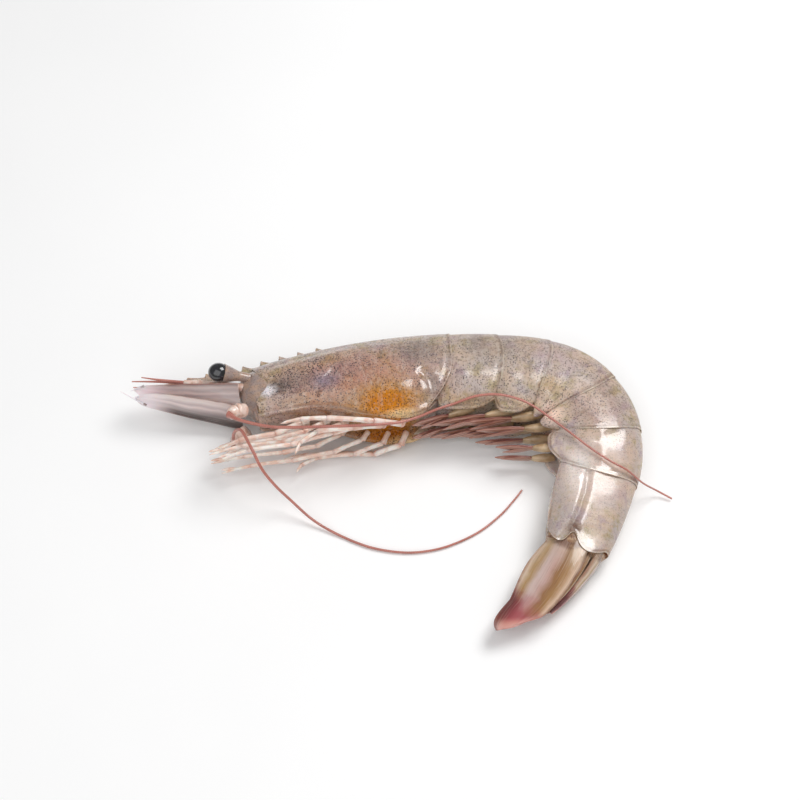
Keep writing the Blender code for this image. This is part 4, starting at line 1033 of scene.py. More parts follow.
class Nodes:
    """Builds one material's node tree."""

    def __init__(self, name):
        self.material = bpy.data.materials.new(name)
        self.material.use_nodes = True
        self.tree = self.material.node_tree
        self.shader = self.tree.nodes["Principled BSDF"]

    def put(self, socket, value):
        """Links a socket to another node's output, or sets its own value."""
        if isinstance(value, bpy.types.NodeSocket):
            self.tree.links.new(value, socket)
        elif isinstance(value, (tuple, list)) and socket.type == "RGBA" and len(value) == 3:
            socket.default_value = (*value, 1.0)
        else:
            socket.default_value = value

    def node(self, kind, out=0, settings=(), **values):
        """Adds a node. Its inputs are given by name, or by number as i0, i1 and so on."""
        node = self.tree.nodes.new(kind)
        for key, value in settings:
            setattr(node, key, value)
        for key, value in values.items():
            numbered = key[0] == "i" and key[1:].isdigit()
            self.put(node.inputs[int(key[1:]) if numbered else key.replace("_", " ")], value)
        return node.outputs[out]

    def math(self, operation, a, b=0.0, c=0.0):
        return self.node("ShaderNodeMath", 0, (("operation", operation),), i0=a, i1=b, i2=c)

    def vector(self, operation, a, b=(0.0, 0.0, 0.0), out=0):
        return self.node("ShaderNodeVectorMath", out, (("operation", operation),), i0=a, i1=b)

    def spot(self):
        """The spot attribute as a vector."""
        return self.node("ShaderNodeAttribute", 1, (("attribute_name", "spot"),))

    def parts(self, vector):
        node = self.tree.nodes.new("ShaderNodeSeparateXYZ")
        self.put(node.inputs[0], vector)
        return node.outputs[0], node.outputs[1], node.outputs[2]

    def solid(self):
        """Object coordinates in millimetres."""
        coordinate = self.node("ShaderNodeTexCoord", 3)
        return self.vector("MULTIPLY", coordinate, (1000.0, 1000.0, 1000.0))

    def noise(self, at, scale, detail=3.0, rough=0.5):
        return self.node("ShaderNodeTexNoise", Vector=at, Scale=scale, Detail=detail, Roughness=rough)

    def cells(self, at, scale, out=0):
        """Distance to the middle of the nearest cell, or with out=1 its random colour."""
        return self.node("ShaderNodeTexVoronoi", out, Vector=at, Scale=scale, Randomness=1.0)

    def range(self, value, low, high, to_low=0.0, to_high=1.0, kind="SMOOTHSTEP"):
        """The value carried over from one range to another, and held at its ends."""
        ends = {"i1": low, "i2": high, "i3": to_low, "i4": to_high}
        return self.node("ShaderNodeMapRange", 0, (("interpolation_type", kind),), i0=value, **ends)

    def mix(self, factor, a, b):
        """Colour a where the factor is 0, and b where it is 1."""
        node = self.tree.nodes.new("ShaderNodeMix")
        node.data_type = "RGBA"
        self.put(node.inputs[0], factor)
        self.put(node.inputs[6], a)
        self.put(node.inputs[7], b)
        return node.outputs[2]

    def ramp(self, factor, stops):
        node = self.tree.nodes.new("ShaderNodeValToRGB")
        self.put(node.inputs[0], factor)
        elements = node.color_ramp.elements
        while len(elements) < len(stops):
            elements.new(0.5)
        for element, (at, colour) in zip(elements, stops):
            element.position = at
            element.color = (*colour, 1.0)
        return node.outputs[0]

    def stripes(self, value, rows):
        """Bands of colour across a value from -1 to 1: rows of a share of that and a colour."""
        return self.ramp(self.range(value, -1.0, 1.0, kind="LINEAR"), rows)

    def zone(self, at, centre, reach):
        """A soft mask, 1 at the centre and 0 beyond the reach, on both flanks."""
        away = self.vector("SUBTRACT", at, (*centre, 0.0))
        away = self.vector("MULTIPLY", away, (1.0 / reach[0], 1.0 / reach[1], 0.0))
        return self.range(self.vector("LENGTH", away, out=1), 0.15, 1.0, 1.0, 0.0)

    def bump(self, height, distance, strength=1.0):
        return self.node("ShaderNodeBump", Height=height, Distance=distance, Strength=strength)

    def shade(self, **values):
        for key, value in values.items():
            self.put(self.shader.inputs[key.replace("_", " ")], value)
        return self.material


def wet(nodes, colour, bump, roughness, depth, scatter, coat=0.6, radius=(1.0, 0.55, 0.4)):
    """Sets a wet, slightly see-through finish."""
    return nodes.shade(
        Base_Color=colour,
        Normal=bump,
        Roughness=roughness,
        Subsurface_Weight=scatter,
        Subsurface_Radius=radius,
        Subsurface_Scale=depth,
        Coat_Weight=coat,
        Coat_Roughness=0.10,
        Coat_IOR=1.6,
        IOR=1.42,
    )


def srgb(r, g, b):
    """Linear colour from the 0 to 255 values of a screen colour."""
    shares = (value / 255 for value in (r, g, b))
    return tuple(v / 12.92 if v <= 0.04045 else ((v + 0.055) / 1.055) ** 2.4 for v in shares)


# Tinted zones of the shell, with painted light in some as marked: centre (s, dorsal) and reach in
# millimetres, colour, strength
SHELL_ZONES = (
    ((22.0, -5.0), (30.0, 14.0), srgb(182, 114, 82), 0.70),
    ((8.5, -2.7), (8.0, 4.4), srgb(134, 112, 108), 0.75),
    ((15.5, -3.6), (5.0, 3.4), srgb(132, 124, 150), 0.70),
    ((20.0, -1.0), (9.0, 3.5), srgb(160, 124, 122), 0.50),
    ((9.0, -7.0), (9.0, 2.0), srgb(176, 136, 98), 0.60),
    ((17.0, -9.0), (11.0, 2.6), srgb(164, 116, 78), 0.80),
    ((28.0, -10.2), (13.0, 7.0), srgb(186, 138, 70), 1.05),
    ((28.2, -10.4), (8.0, 4.6), srgb(200, 122, 0), 1.25),
    ((31.5, -13.2), (7.0, 2.2), srgb(236, 204, 150), 0.85),
    ((38.5, -7.0), (3.4, 5.0), srgb(146, 128, 122), 0.75),
    ((4.8, -3.3), (3.9, 2.8), srgb(78, 68, 70), 0.75),
    # Painted highlight: a near-white glint on the orbit, over the pale blue-grey of the eyestalk's base
    ((2.9, -3.5), (2.7, 2.3), srgb(238, 230, 232), 1.2),
    ((36.0, 2.0), (8.0, 6.0), srgb(134, 122, 118), 0.75),
    ((52.0, 2.0), (12.0, 9.0), srgb(168, 150, 136), 0.65),
    ((49.0, 5.0), (3.0, 4.0), srgb(110, 88, 80), 0.50),
    ((64.0, 3.0), (8.0, 7.0), srgb(192, 168, 168), 0.60),
    ((66.0, -5.0), (8.0, 5.0), srgb(190, 162, 124), 0.60),
    ((78.0, 0.0), (9.0, 9.0), srgb(172, 138, 120), 0.75),
    ((93.0, 0.0), (13.0, 12.0), srgb(216, 190, 176), 0.85),
    ((93.5, -3.8), (9.5, 4.2), srgb(234, 222, 216), 0.95),
    ((107.0, -1.0), (3.6, 2.4), srgb(100, 62, 40), 0.90),
    ((108.0, 3.4), (3.0, 3.2), srgb(234, 216, 202), 0.75),
    ((48.0, -10.4), (9.0, 3.0), srgb(184, 152, 108), 0.75),
    # Painted light: the two zones below lighten the lower side plates of the middle abdomen rings, which
    # turn away from the lamps
    ((62.0, -10.4), (8.0, 2.8), srgb(228, 200, 170), 0.90),
    ((75.0, -9.6), (9.0, 3.6), srgb(248, 216, 196), 0.95),
)
# Where the orange shows through the head shell, which is duller there: centre and reach as above
ORANGE_CENTRE = (28.2, -10.2)
ORANGE_REACH = (11.0, 6.4)
# Where the speckles are coarser, likewise
COARSE_CENTRE = (12.0, -1.0)
COARSE_REACH = (15.0, 8.0)
# How wet the shell is along it: share of WETNESS_LENGTH in millimetres, and wetness as a share
WETNESS_LENGTH = 120.0
SHELL_WETNESS = (
    (0.0, 0.7), (0.30, 0.9), (0.36, 0.6), (0.50, 0.5), (0.55, 0.2), (0.67, 0.2), (0.70, 1.0), (1.0, 1.0),
)


def shell_flesh(n, spot, s, colour):
    """Streaks and patches of flesh that show through the abdomen, darker ahead of its last rings."""
    rugged = n.range(s, 74.0, 88.0, 1.0, 0.15)
    streak = n.noise(n.vector("MULTIPLY", spot, (0.9, 0.22, 0.22)), 1.0, 3.0, 0.5)
    colour = n.mix(n.range(streak, 0.52, 0.75, 0.0, 0.35), colour, srgb(196, 178, 166))
    dark = n.math("MULTIPLY", rugged, n.range(streak, 0.46, 0.25, 0.0, 0.40))
    colour = n.mix(dark, colour, srgb(104, 88, 78))
    patch = n.noise(n.vector("MULTIPLY", spot, (1.4, 1.1, 1.1)), 1.0, 4.0, 0.65)
    colour = n.mix(n.range(patch, 0.50, 0.68, 0.0, 0.30), colour, srgb(206, 192, 182))
    dark = n.math("MULTIPLY", rugged, n.range(patch, 0.48, 0.34, 0.0, 0.38))
    return n.mix(dark, colour, srgb(92, 76, 70))


def shell_speckles(n, spot, solid, s, form, finish):
    """A mask of fine speckles of mixed sizes, in crowds, fewer on the last rings."""
    cells = n.cells(solid, 1.0 / form.speckle_pitch)
    chance = n.parts(n.cells(solid, 1.0 / form.speckle_pitch, 1))[0]
    size = n.range(chance, 0.0, 1.0, 0.18, 0.50, "LINEAR")
    size = n.math("ADD", size, n.math("MULTIPLY", n.zone(spot, COARSE_CENTRE, COARSE_REACH), 0.12))
    dot = n.range(n.math("SUBTRACT", size, cells), -0.04, 0.14)
    crowd = n.range(n.noise(solid, 0.35, 2.0), 0.34, 0.62, 0.55, 1.0)
    place_share = n.math("MULTIPLY", n.range(s, 38.0, 50.0, 1.0, 0.92), n.range(s, 78.0, 90.0, 1.0, 0.35))
    strength = n.math("MULTIPLY", place_share, finish.speckle_strength)
    return n.math("MULTIPLY", n.math("MULTIPLY", dot, crowd), strength)


def shell_seams(n, cloud, tint_noise, colour):
    """Thin seams: a broken pale line along each margin, and a brown one inside it."""
    edge = n.node("ShaderNodeAttribute", 2, (("attribute_name", "edge"),))
    inside = n.math("MULTIPLY", n.range(edge, 0.15, 0.40), n.range(edge, 0.45, 0.95, 1.0, 0.0))
    inside = n.math("MULTIPLY", inside, n.range(cloud, 0.4, 0.6, 0.10, 0.55))
    colour = n.mix(inside, colour, srgb(104, 72, 50))
    rim = n.math("MULTIPLY", n.range(edge, 0.1, 0.3, 1.0, 0.0), n.range(tint_noise, 0.42, 0.60, 0.0, 0.65))
    return n.mix(rim, colour, srgb(206, 184, 164))


def shell_finish(form, finish):
    """Grey, slightly see-through shell with fine dark speckles, the tints of what lies under it, and
    painted light in a few zones.
    """
    n = Nodes("prawn_shell")
    spot = n.spot()
    s, dorsal, _ = n.parts(spot)
    solid = n.solid()
    cloud = n.noise(solid, 0.16, 4.0, 0.55)
    fine_cloud = n.noise(solid, 0.9, 4.0, 0.6)
    colour = n.mix(n.range(cloud, 0.36, 0.64), tuple(finish.shell_grey), tuple(finish.shell_warm))
    tint_noise = n.noise(n.vector("ADD", solid, (31.0, 7.0, 12.0)), 0.30, 3.0, 0.6)
    colour = n.mix(n.range(tint_noise, 0.50, 0.66, 0.0, 0.70), colour, srgb(160, 144, 98))
    colour = n.mix(n.range(tint_noise, 0.46, 0.32, 0.0, 0.65), colour, srgb(158, 136, 146))
    for centre, reach, tint, strength in SHELL_ZONES:
        mask = n.math("MULTIPLY", n.zone(spot, centre, reach), strength)
        mask = n.math("MULTIPLY", mask, n.range(fine_cloud, 0.25, 0.6, 0.66, 1.0))
        colour = n.mix(mask, colour, tint)
    colour = shell_flesh(n, spot, s, colour)
    dot = shell_speckles(n, spot, solid, s, form, finish)
    colour = shell_seams(n, cloud, tint_noise, n.mix(dot, colour, tuple(finish.speckle)))
    dents = n.noise(solid, 0.42, 2.0, 0.5)
    grain = n.math("ADD", n.math("MULTIPLY", fine_cloud, 0.5), n.math("MULTIPLY", dot, -0.25))
    bump = n.bump(n.math("ADD", grain, n.math("MULTIPLY", dents, 1.6)), 0.00016, 0.6)
    along = n.range(s, 0.0, WETNESS_LENGTH, kind="LINEAR")
    wetness = n.ramp(along, [(at, (share,) * 3) for at, share in SHELL_WETNESS])
    glow = n.zone(spot, ORANGE_CENTRE, ORANGE_REACH)
    coat = n.math("MULTIPLY", wetness, n.range(dorsal, 3.0, 7.5, 1.0, 0.2))
    coat = n.math("MULTIPLY", coat, n.range(glow, 0.0, 0.8, 1.0, 0.1, "LINEAR"))
    rough = n.math("SUBTRACT", n.range(fine_cloud, 0.3, 0.7, 0.42, 0.52), n.math("MULTIPLY", wetness, 0.22))
    gloss = n.range(glow, 0.0, 0.8, 1.0, 0.2, "LINEAR")
    gloss = n.math("MULTIPLY", n.range(dorsal, 3.0, 7.5, 0.5, 0.2), gloss)
    n.shade(Specular_IOR_Level=gloss)
    return wet(n, colour, bump, rough, 0.0014, 0.30, coat=coat)


# Stripes across a blade of the tail fan, from its edge towards the back to the one nearer to the belly
TAIL_STRIPES = (
    (0.0, srgb(120, 86, 64)),
    (0.08, srgb(210, 180, 156)),
    (0.22, srgb(158, 118, 70)),
    (0.36, srgb(146, 104, 66)),
    (0.48, srgb(190, 156, 146)),
    (0.62, srgb(200, 178, 172)),
    (0.76, srgb(164, 130, 80)),
    (0.90, srgb(212, 188, 166)),
    (1.0, srgb(150, 110, 88)),
)
# Stripes across an antennal scale, from its inner edge to its outer one
SCALE_STRIPES = (
    (0.0, srgb(120, 90, 80)),
    (0.07, srgb(226, 206, 200)),
    (0.24, srgb(234, 218, 214)),
    (0.40, srgb(196, 178, 178)),
    (0.50, srgb(232, 214, 210)),
    (0.66, srgb(188, 172, 172)),
    (0.80, srgb(214, 196, 192)),
    (0.93, srgb(150, 128, 124)),
    (1.0, srgb(140, 84, 68)),
)
SWIMMERET_STRIPES = (
    (0.0, srgb(122, 62, 52)),
    (0.22, srgb(186, 136, 116)),
    (0.40, srgb(128, 72, 58)),
    (0.55, srgb(200, 156, 134)),
    (0.70, srgb(136, 80, 66)),
    (0.86, srgb(190, 140, 120)),
    (1.0, srgb(120, 60, 50)),
)


def tail_finish(form, finish):
    """Olive, grey and pink stripes along each blade, to a maroon end with a pale pink margin."""
    n = Nodes("prawn_tail")
    spot = n.spot()
    along, across, _ = n.parts(spot)
    solid = n.solid()
    wobble = n.math("SUBTRACT", n.noise(solid, 0.3, 3.0), 0.5)
    at = n.math("ADD", across, n.math("MULTIPLY", wobble, 0.30))
    stripes = n.stripes(at, TAIL_STRIPES)
    colour = n.mix(n.range(along, 0.0, 0.30, 0.40, 0.0), stripes, srgb(186, 164, 140))
    crease = n.math("MULTIPLY", n.range(along, 0.03, 0.08, 1.0, 0.0), n.range(wobble, -0.10, 0.06))
    colour = n.mix(n.math("MULTIPLY", crease, 0.8), colour, srgb(104, 66, 44))
    ragged = n.math("ADD", n.math("MULTIPLY", across, 0.14), n.math("MULTIPLY", wobble, 0.25))
    end = n.range(n.math("ADD", along, ragged), 0.58, 0.84)
    colour = n.mix(end, colour, tuple(finish.tail_tip))
    dark = n.math("MULTIPLY", end, n.range(across, 0.0, 0.75))
    colour = n.mix(n.math("MULTIPLY", dark, 0.90), colour, srgb(88, 36, 34))
    near_end = n.math("SUBTRACT", along, n.math("MULTIPLY", across, 0.08))
    margin = n.math("MULTIPLY", n.range(near_end, 0.84, 0.95), n.range(across, 0.90, 0.45))
    colour = n.mix(n.math("MULTIPLY", margin, 0.75), colour, srgb(216, 152, 140))
    fine = n.noise(n.vector("MULTIPLY", spot, (3.0, 26.0, 3.0)), 1.0, 3.0, 0.6)
    colour = n.mix(n.range(fine, 0.5, 0.75, 0.0, 0.35), colour, srgb(214, 192, 178))
    colour = n.mix(n.range(fine, 0.45, 0.25, 0.0, 0.40), colour, srgb(92, 60, 44))
    return wet(n, colour, n.bump(fine, 0.00012, 0.5), 0.28, 0.0010, 0.20)


def scale_finish(form, finish):
    """Purple grey with pink-cream and dark stripes, paler and see-through towards the end, with painted
    shade where a scale lies low.
    """
    n = Nodes("prawn_scale")
    spot = n.spot()
    along, across, _ = n.parts(spot)
    solid = n.solid()
    wobble = n.math("MULTIPLY", n.math("SUBTRACT", n.noise(solid, 0.25, 3.0), 0.5), 0.3)
    stripes = n.stripes(n.math("ADD", across, wobble), SCALE_STRIPES)
    colour = n.mix(n.range(along, 0.0, 0.30, 0.4, 0.0), stripes, tuple(finish.scale_root))
    # Painted shade: darker where a scale lies low over the floor, towards its outer edge
    low = n.math("MULTIPLY", n.range(n.parts(solid)[2], 5.0, 8.0, 0.95, 0.0), n.range(across, -0.3, 0.8))
    colour = n.mix(low, colour, srgb(72, 62, 60))
    colour = n.mix(n.range(along, 0.60, 0.94, 0.0, 0.92), colour, srgb(252, 238, 242))
    fine = n.noise(n.vector("MULTIPLY", spot, (2.5, 22.0, 2.5)), 1.0, 3.0, 0.6)
    colour = n.mix(n.range(fine, 0.5, 0.8, 0.0, 0.4), colour, srgb(232, 214, 210))
    colour = n.mix(n.range(fine, 0.42, 0.2, 0.0, 0.35), colour, srgb(104, 90, 92))
    return wet(n, colour, n.bump(fine, 0.00010, 0.5), 0.30, 0.0010, 0.25)


def limb_finish(form, finish):
    """Pale pink legs, whiter along the middle and salmon at the joints."""
    n = Nodes("prawn_limbs")
    spot = n.spot()
    along, _, joint = n.parts(spot)
    solid = n.solid()
    cloud = n.noise(solid, 0.5, 3.0)
    colour = n.mix(n.range(cloud, 0.35, 0.65), tuple(finish.limb_pale), tuple(finish.limb_pink))
    colour = n.mix(n.math("MULTIPLY", joint, 0.45), colour, srgb(204, 122, 96))
    colour = n.mix(n.range(along, 0.0, 6.0, 0.45, 0.0), colour, srgb(170, 128, 96))
    fine = n.noise(solid, 2.2, 3.0)
    return wet(n, colour, n.bump(fine, 0.00010, 0.4), 0.30, 0.0012, 0.35)


def swimmeret_finish(form, finish):
    """Olive brown stalks, and blades with dark pink and brown stripes."""
    n = Nodes("prawn_swimmerets")
    spot = n.spot()
    _, around, stalk = n.parts(spot)
    solid = n.solid()
    wobble = n.math("MULTIPLY", n.math("SUBTRACT", n.noise(solid, 0.35, 3.0), 0.5), 0.5)
    stripes = n.stripes(n.math("ADD", around, wobble), SWIMMERET_STRIPES)
    olive = n.mix(n.range(n.noise(solid, 0.5, 3.0), 0.35, 0.65), srgb(200, 172, 136), srgb(160, 130, 96))
    colour = n.mix(stalk, stripes, olive)
    fine = n.noise(solid, 2.0, 3.0)
    return wet(n, colour, n.bump(fine, 0.00010, 0.5), 0.30, 0.0010, 0.25)


def whip_finish(form, finish):
    """Salmon feelers with fine rings, on paler base joints."""
    n = Nodes("prawn_whips")
    along, _, base = n.parts(n.spot())
    solid = n.solid()
    rings = n.math("SINE", n.math("MULTIPLY", along, 14.0))
    darker = n.range(n.noise(solid, 0.25, 2.0), 0.35, 0.65)
    colour = n.mix(darker, tuple(finish.whip), srgb(176, 108, 94))
    colour = n.mix(n.range(rings, 0.2, 1.0, 0.0, 0.25), colour, srgb(118, 52, 44))
    blotch = n.range(n.noise(solid, 0.7, 3.0), 0.35, 0.65)
    pale = n.mix(blotch, srgb(242, 218, 206), srgb(216, 176, 158))
    colour = n.mix(base, colour, pale)
    return wet(n, colour, n.bump(rings, 0.00004, 0.5), 0.32, 0.0008, 0.2)


def eye_finish(form, finish):
    """Glossy black, with the fine net of a compound eye."""
    n = Nodes("prawn_eyes")
    solid = n.solid()
    net = n.cells(solid, 8.0)
    colour = n.mix(n.range(n.noise(solid, 0.8, 2.0), 0.4, 0.7), tuple(finish.eye), srgb(30, 30, 40))
    bump = n.bump(net, 0.00002, 0.3)
    return n.shade(Base_Color=colour, Normal=bump, Roughness=0.18, Coat_Weight=1.0, Coat_Roughness=0.04)


def face_finish(form, finish):
    """The soft grey and pink-brown flesh between the eyes and the mouth."""
    n = Nodes("prawn_face")
    solid = n.solid()
    cloud = n.noise(n.vector("MULTIPLY", solid, (0.5, 1.0, 1.0)), 0.8, 4.0)
    colour = n.mix(n.range(cloud, 0.35, 0.65), srgb(160, 142, 136), srgb(178, 150, 132))
    cells = n.cells(solid, 1.0 / form.speckle_pitch)
    colour = n.mix(n.range(cells, 0.32, 0.20, 0.0, 0.7), colour, tuple(finish.speckle))
    return wet(n, colour, n.bump(n.noise(solid, 1.8, 3.0), 0.0002, 0.6), 0.3, 0.0012, 0.3)


def joint_finish(form, finish):
    """Cream flesh with dark brown creases."""
    n = Nodes("prawn_joint")
    solid = n.solid()
    cloud = n.noise(solid, 0.5, 4.0, 0.6)
    colour = n.mix(n.range(cloud, 0.38, 0.60), srgb(126, 84, 54), srgb(190, 158, 128))
    crease = n.noise(n.vector("MULTIPLY", solid, (1.0, 0.4, 1.0)), 1.6, 3.0)
    colour = n.mix(n.range(crease, 0.48, 0.34, 0.0, 0.8), colour, srgb(84, 52, 36))
    return wet(n, colour, n.bump(crease, 0.0002, 0.5), 0.42, 0.0010, 0.25, coat=0.15)


FINISHES = {
    "shell": shell_finish,
    "tail": tail_finish,
    "scale": scale_finish,
    "limbs": limb_finish,
    "swimmerets": swimmeret_finish,
    "whips": whip_finish,
    "eyes": eye_finish,
    "face": face_finish,
    "joint": joint_finish,
}


def finish_of(name):
    """The named material, made on its first use."""
    scene = bpy.context.scene
    found = bpy.data.materials.get("prawn_" + name)
    return found or FINISHES[name](scene.prawn_form, scene.prawn_finish)


# Settings


def colour_setting(label, about, value):
    return bpy.props.FloatVectorProperty(
        name=label, description=about, subtype="COLOR", size=3, min=0.0, max=1.0, default=value)


class PrawnForm(bpy.types.PropertyGroup):
    """Sizes a user would change"""

    speckle_pitch: bpy.props.FloatProperty(
        name="Speckle spacing", description="Distance between the shell's speckles, in millimetres",
        default=0.34, min=0.2, max=3.0)


class PrawnFinish(bpy.types.PropertyGroup):
    """Colours of the prawn"""

    shell_grey: colour_setting("Cool shell", "The greyer tone of the shell", srgb(182, 168, 162))
    shell_warm: colour_setting("Warm shell", "The warmer tone of the shell", srgb(196, 172, 152))
    speckle: colour_setting("Speckles", "The shell's dark speckles", srgb(40, 34, 40))
    speckle_strength: bpy.props.FloatProperty(
        name="Speckle strength", description="How strongly the speckles show", subtype="FACTOR",
        default=0.92, min=0.0, max=1.0)
    tail_tip: colour_setting("Tail tip", "The dark red end of the tail fan", srgb(160, 76, 82))
    scale_root: colour_setting("Scale root", "The root of the antennal scales", srgb(184, 168, 164))
    limb_pale: colour_setting("Pale limbs", "The paler tone of the legs", srgb(250, 240, 232))
    limb_pink: colour_setting("Pink limbs", "The pinker tone of the legs", srgb(234, 200, 184))
    whip: colour_setting("Feelers", "The whips of the feelers", srgb(190, 122, 108))
    eye: colour_setting("Eyes", "The eyes", srgb(10, 10, 12))


class PrawnStudio(bpy.types.PropertyGroup):
    """Floor, lights and camera"""

    floor: colour_setting("Floor", "The floor", (0.97, 0.97, 0.97))
    elevation: bpy.props.FloatProperty(
        name="Camera elevation", description="The camera's angle above the horizon", subtype="ANGLE",
        unit="ROTATION", default=math.radians(58.0))
    distance: bpy.props.FloatProperty(
        name="Camera distance", description="From the camera to the prawn", subtype="DISTANCE",
        unit="LENGTH", default=0.398)
    lens: bpy.props.FloatProperty(
        name="Lens", description="Focal length in millimetres", default=85.0, min=20.0, max=200.0)
    top_light: bpy.props.FloatProperty(
        name="Top light", description="Power of the top light", unit="POWER", default=1.35)
    side_light: bpy.props.FloatProperty(
        name="Side light", description="Power of the side light", unit="POWER", default=1.65)
    surround: bpy.props.FloatProperty(
        name="Surround", description="Strength of the even light", default=0.32, min=0.0)


# Operators


def make(name, finish, slot, node, build, *sizes):
    """Builds one piece, in the named finish, that stands for a CAD node."""
    shape = Shape()
    build(shape, *sizes)
    if not shape.faces:
        raise RuntimeError(f"{name} has no faces")
    shape.piece(name, finish_of(finish), node)


class PRAWN_OT_head_shell(bpy.types.Operator):
    """Builds the head shell with its spike, and the soft face in front of it"""

    bl_idname = "prawn.head_shell"
    bl_label = "Head shell"

    def execute(self, context):
        make("head_shell", "shell", "shell", "cephalothorax", build_head)
        make("rostrum", "shell", "shell", "cephalothorax", build_rostrum)
        make("face", "face", "shell", "cephalothorax", build_face)
        return {"FINISHED"}


class PRAWN_OT_abdomen(bpy.types.Operator):
    """Builds the six rings of the abdomen"""

    bl_idname = "prawn.abdomen"
    bl_label = "Abdomen"

    def execute(self, context):
        for number in range(1, 7):
            make(f"abdomen_plate_{number}", "shell", "shell", f"abdomen_{number}", build_plate, number)
        return {"FINISHED"}


class PRAWN_OT_tail_fan(bpy.types.Operator):
    """Builds the tail's mid piece and its four blades"""

    bl_idname = "prawn.tail_fan"
    bl_label = "Tail fan"

    def execute(self, context):
        make("tail_joint", "joint", "shell", "abdomen_6", build_joint)
        make("tail_mid_piece", "tail", "tail", "telson", build_telson)
        for side, word in SIDES:
            for kind in TAIL_BLADES:
                node = f"tail_blade_{kind}_{word}"
                make(f"tail_fin_{kind}_{word}", "tail", "tail", node, build_tail_blade, side, kind)
        return {"FINISHED"}


class PRAWN_OT_eyes(bpy.types.Operator):
    """Builds the eyes on their stalks"""

    bl_idname = "prawn.eyes"
    bl_label = "Eyes"

    def execute(self, context):
        for side, word in SIDES:
            make(f"eyeball_{word}", "eyes", "eyes", f"eye_{word}", build_eyeball, side)
            make(f"eyestalk_{word}", "face", "eyes", f"eye_{word}", build_eyestalk, side)
        return {"FINISHED"}


class PRAWN_OT_scales(bpy.types.Operator):
    """Builds the two antennal scales"""

    bl_idname = "prawn.scales"
    bl_label = "Antennal scales"

    def execute(self, context):
        for side, word in SIDES:
            make(f"scale_{word}", "scale", "scale", f"antennal_scale_{word}", build_scale, side)
        return {"FINISHED"}


class PRAWN_OT_feelers(bpy.types.Operator):
    """Builds the long feelers and the short ones"""

    bl_idname = "prawn.feelers"
    bl_label = "Feelers"

    def execute(self, context):
        for side, word in SIDES:
            make(f"long_feeler_{word}", "whips", "whips", f"antenna_{word}", build_antenna, side)
            make(f"short_feeler_{word}", "whips", "whips", f"antennule_{word}", build_antennule, side)
        return {"FINISHED"}


class PRAWN_OT_legs(bpy.types.Operator):
    """Builds the mouth legs and the walking legs"""

    bl_idname = "prawn.legs"
    bl_label = "Legs"

    def execute(self, context):
        for side, word in SIDES:
            for lane, kind in enumerate(LEG_PATHS):
                node = f"{kind}_{word}"
                make(f"limb_{node}", "limbs", "limbs", node, build_leg, kind, side, lane)
        return {"FINISHED"}


class PRAWN_OT_swimmerets(bpy.types.Operator):
    """Builds the swimming legs under the abdomen"""

    bl_idname = "prawn.swimmerets"
    bl_label = "Swimming legs"

    def execute(self, context):
        for side, word in SIDES:
            for number in range(1, 6):
                name, node = f"swimming_leg_{number}_{word}", f"swimmeret_{number}_{word}"
                make(name, "swimmerets", "limbs", node, build_swimmeret, number, side)
        return {"FINISHED"}


FLOOR_REACH = 1.5
FLOOR_SHADE = 0.985  # the darker tone of the floor, as a share of the paler one
# Place, aim and size of each area light
TOP_LIGHT = ((-0.14, -0.28, 0.42), (0.0, 0.0, 0.0), 0.6)
SIDE_LIGHT = ((0.23, 0.19, 0.43), (0.03, 0.0, 0.0), 0.27)
SENSOR_WIDTH = 36.0
CLIP_START = 0.01
CAMERA_AIM = Vector((-0.0012, -0.0026, 0.009))
FRAME_PIXELS = 800.0  # width of the photo
AIM_PIXEL = (394.5, 481.5)  # where the camera's aim lies in the photo, from its top left corner


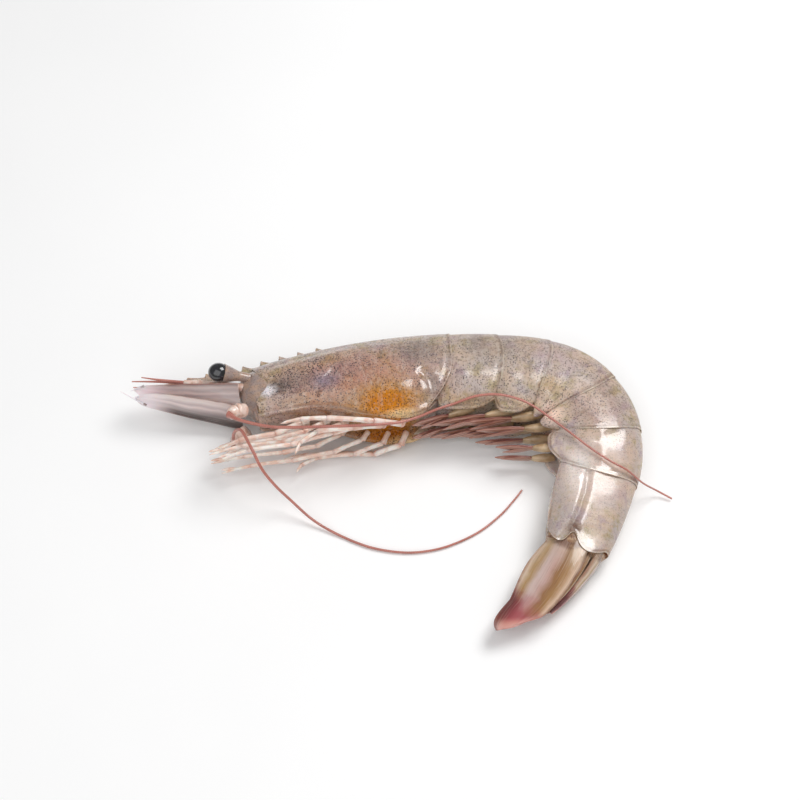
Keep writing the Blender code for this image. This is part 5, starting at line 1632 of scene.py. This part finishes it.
class PRAWN_OT_studio(bpy.types.Operator):
    """Sets up the floor, the lights and the camera"""

    bl_idname = "prawn.studio"
    bl_label = "Studio"

    def execute(self, context):
        scene = context.scene
        studio = scene.prawn_studio
        self.make_floor(scene, studio)
        self.make_world(scene, studio)
        self.make_light(scene, "top", *TOP_LIGHT, studio.top_light)
        self.make_light(scene, "side", *SIDE_LIGHT, studio.side_light)
        self.make_camera(scene, studio)
        return {"FINISHED"}

    def make_floor(self, scene, studio):
        nodes = Nodes("prawn_floor")
        tone = nodes.noise(nodes.solid(), 0.02, 2.0)
        darker = tuple(FLOOR_SHADE * part for part in studio.floor)
        colour = nodes.mix(nodes.range(tone, 0.3, 0.7), tuple(studio.floor), darker)
        mesh = bpy.data.meshes.new("floor")
        corners = [(x * FLOOR_REACH, y * FLOOR_REACH, 0.0) for x, y in ((-1, -1), (1, -1), (1, 1), (-1, 1))]
        mesh.from_pydata(corners, [], [(0, 1, 2, 3)])
        mesh.materials.append(nodes.shade(Base_Color=colour, Roughness=0.7))
        floor = bpy.data.objects.new("floor", mesh)
        scene.collection.objects.link(floor)

    def make_world(self, scene, studio):
        world = bpy.data.worlds.new("prawn_surround")
        world.use_nodes = True
        background = world.node_tree.nodes["Background"]
        background.inputs["Color"].default_value = (1.0, 1.0, 1.0, 1.0)
        background.inputs["Strength"].default_value = studio.surround
        scene.world = world
        scene.view_settings.view_transform = "Standard"

    def make_light(self, scene, name, at, aim, size, power):
        light = bpy.data.lights.new(name + "_light", "AREA")
        light.energy = power
        light.size = size
        obj = bpy.data.objects.new(name + "_light", light)
        obj.location = at
        obj.rotation_mode = "QUATERNION"
        obj.rotation_quaternion = (Vector(aim) - Vector(at)).to_track_quat("-Z", "Y")
        scene.collection.objects.link(obj)

    def make_camera(self, scene, studio):
        """Looks along +Y and down, with its aim at the place in the frame that it has in the photo."""
        camera = bpy.data.cameras.new("camera")
        camera.lens = studio.lens
        camera.sensor_width = SENSOR_WIDTH
        camera.clip_start = CLIP_START
        rise = studio.elevation
        look = Vector((0.0, math.cos(rise), -math.sin(rise)))
        up = Vector((0.0, math.sin(rise), math.cos(rise)))
        right = Vector((1.0, 0.0, 0.0))
        focal_pixels = studio.lens / SENSOR_WIDTH * FRAME_PIXELS
        aside, below = ((pixel - FRAME_PIXELS / 2) / focal_pixels * studio.distance for pixel in AIM_PIXEL)
        obj = bpy.data.objects.new("camera", camera)
        at = CAMERA_AIM - look * studio.distance - right * aside + up * below
        obj.matrix_world = Matrix.Translation(at) @ Matrix((right, up, -look)).transposed().to_4x4()
        scene.collection.objects.link(obj)
        scene.camera = obj


OPERATORS = (
    PRAWN_OT_head_shell,
    PRAWN_OT_abdomen,
    PRAWN_OT_tail_fan,
    PRAWN_OT_eyes,
    PRAWN_OT_scales,
    PRAWN_OT_feelers,
    PRAWN_OT_legs,
    PRAWN_OT_swimmerets,
    PRAWN_OT_studio,
)
GROUPS = (PrawnForm, PrawnFinish, PrawnStudio)


class PRAWN_PT_builder(bpy.types.Panel):
    """Lists the prawn's pieces and settings"""

    bl_idname = "PRAWN_PT_builder"
    bl_label = "Prawn"
    bl_space_type = "VIEW_3D"
    bl_region_type = "UI"
    bl_category = "Prawn"

    def draw(self, context):
        for operator in OPERATORS:
            self.layout.operator(operator.bl_idname)
        for name in ("prawn_form", "prawn_finish", "prawn_studio"):
            group = getattr(context.scene, name)
            for key in group.bl_rna.properties.keys():
                if key not in ("rna_type", "name"):
                    self.layout.prop(group, key)


CLASSES = GROUPS + OPERATORS + (PRAWN_PT_builder,)


def register():
    for cls in CLASSES:
        bpy.utils.register_class(cls)
    bpy.types.Scene.prawn_form = bpy.props.PointerProperty(type=PrawnForm)
    bpy.types.Scene.prawn_finish = bpy.props.PointerProperty(type=PrawnFinish)
    bpy.types.Scene.prawn_studio = bpy.props.PointerProperty(type=PrawnStudio)


def unregister():
    del bpy.types.Scene.prawn_studio
    del bpy.types.Scene.prawn_finish
    del bpy.types.Scene.prawn_form
    for cls in reversed(CLASSES):
        bpy.utils.unregister_class(cls)


def main():
    register()
    for operator in OPERATORS:
        group, name = operator.bl_idname.split(".")
        getattr(getattr(bpy.ops, group), name)()


if __name__ == "__main__":
    main()
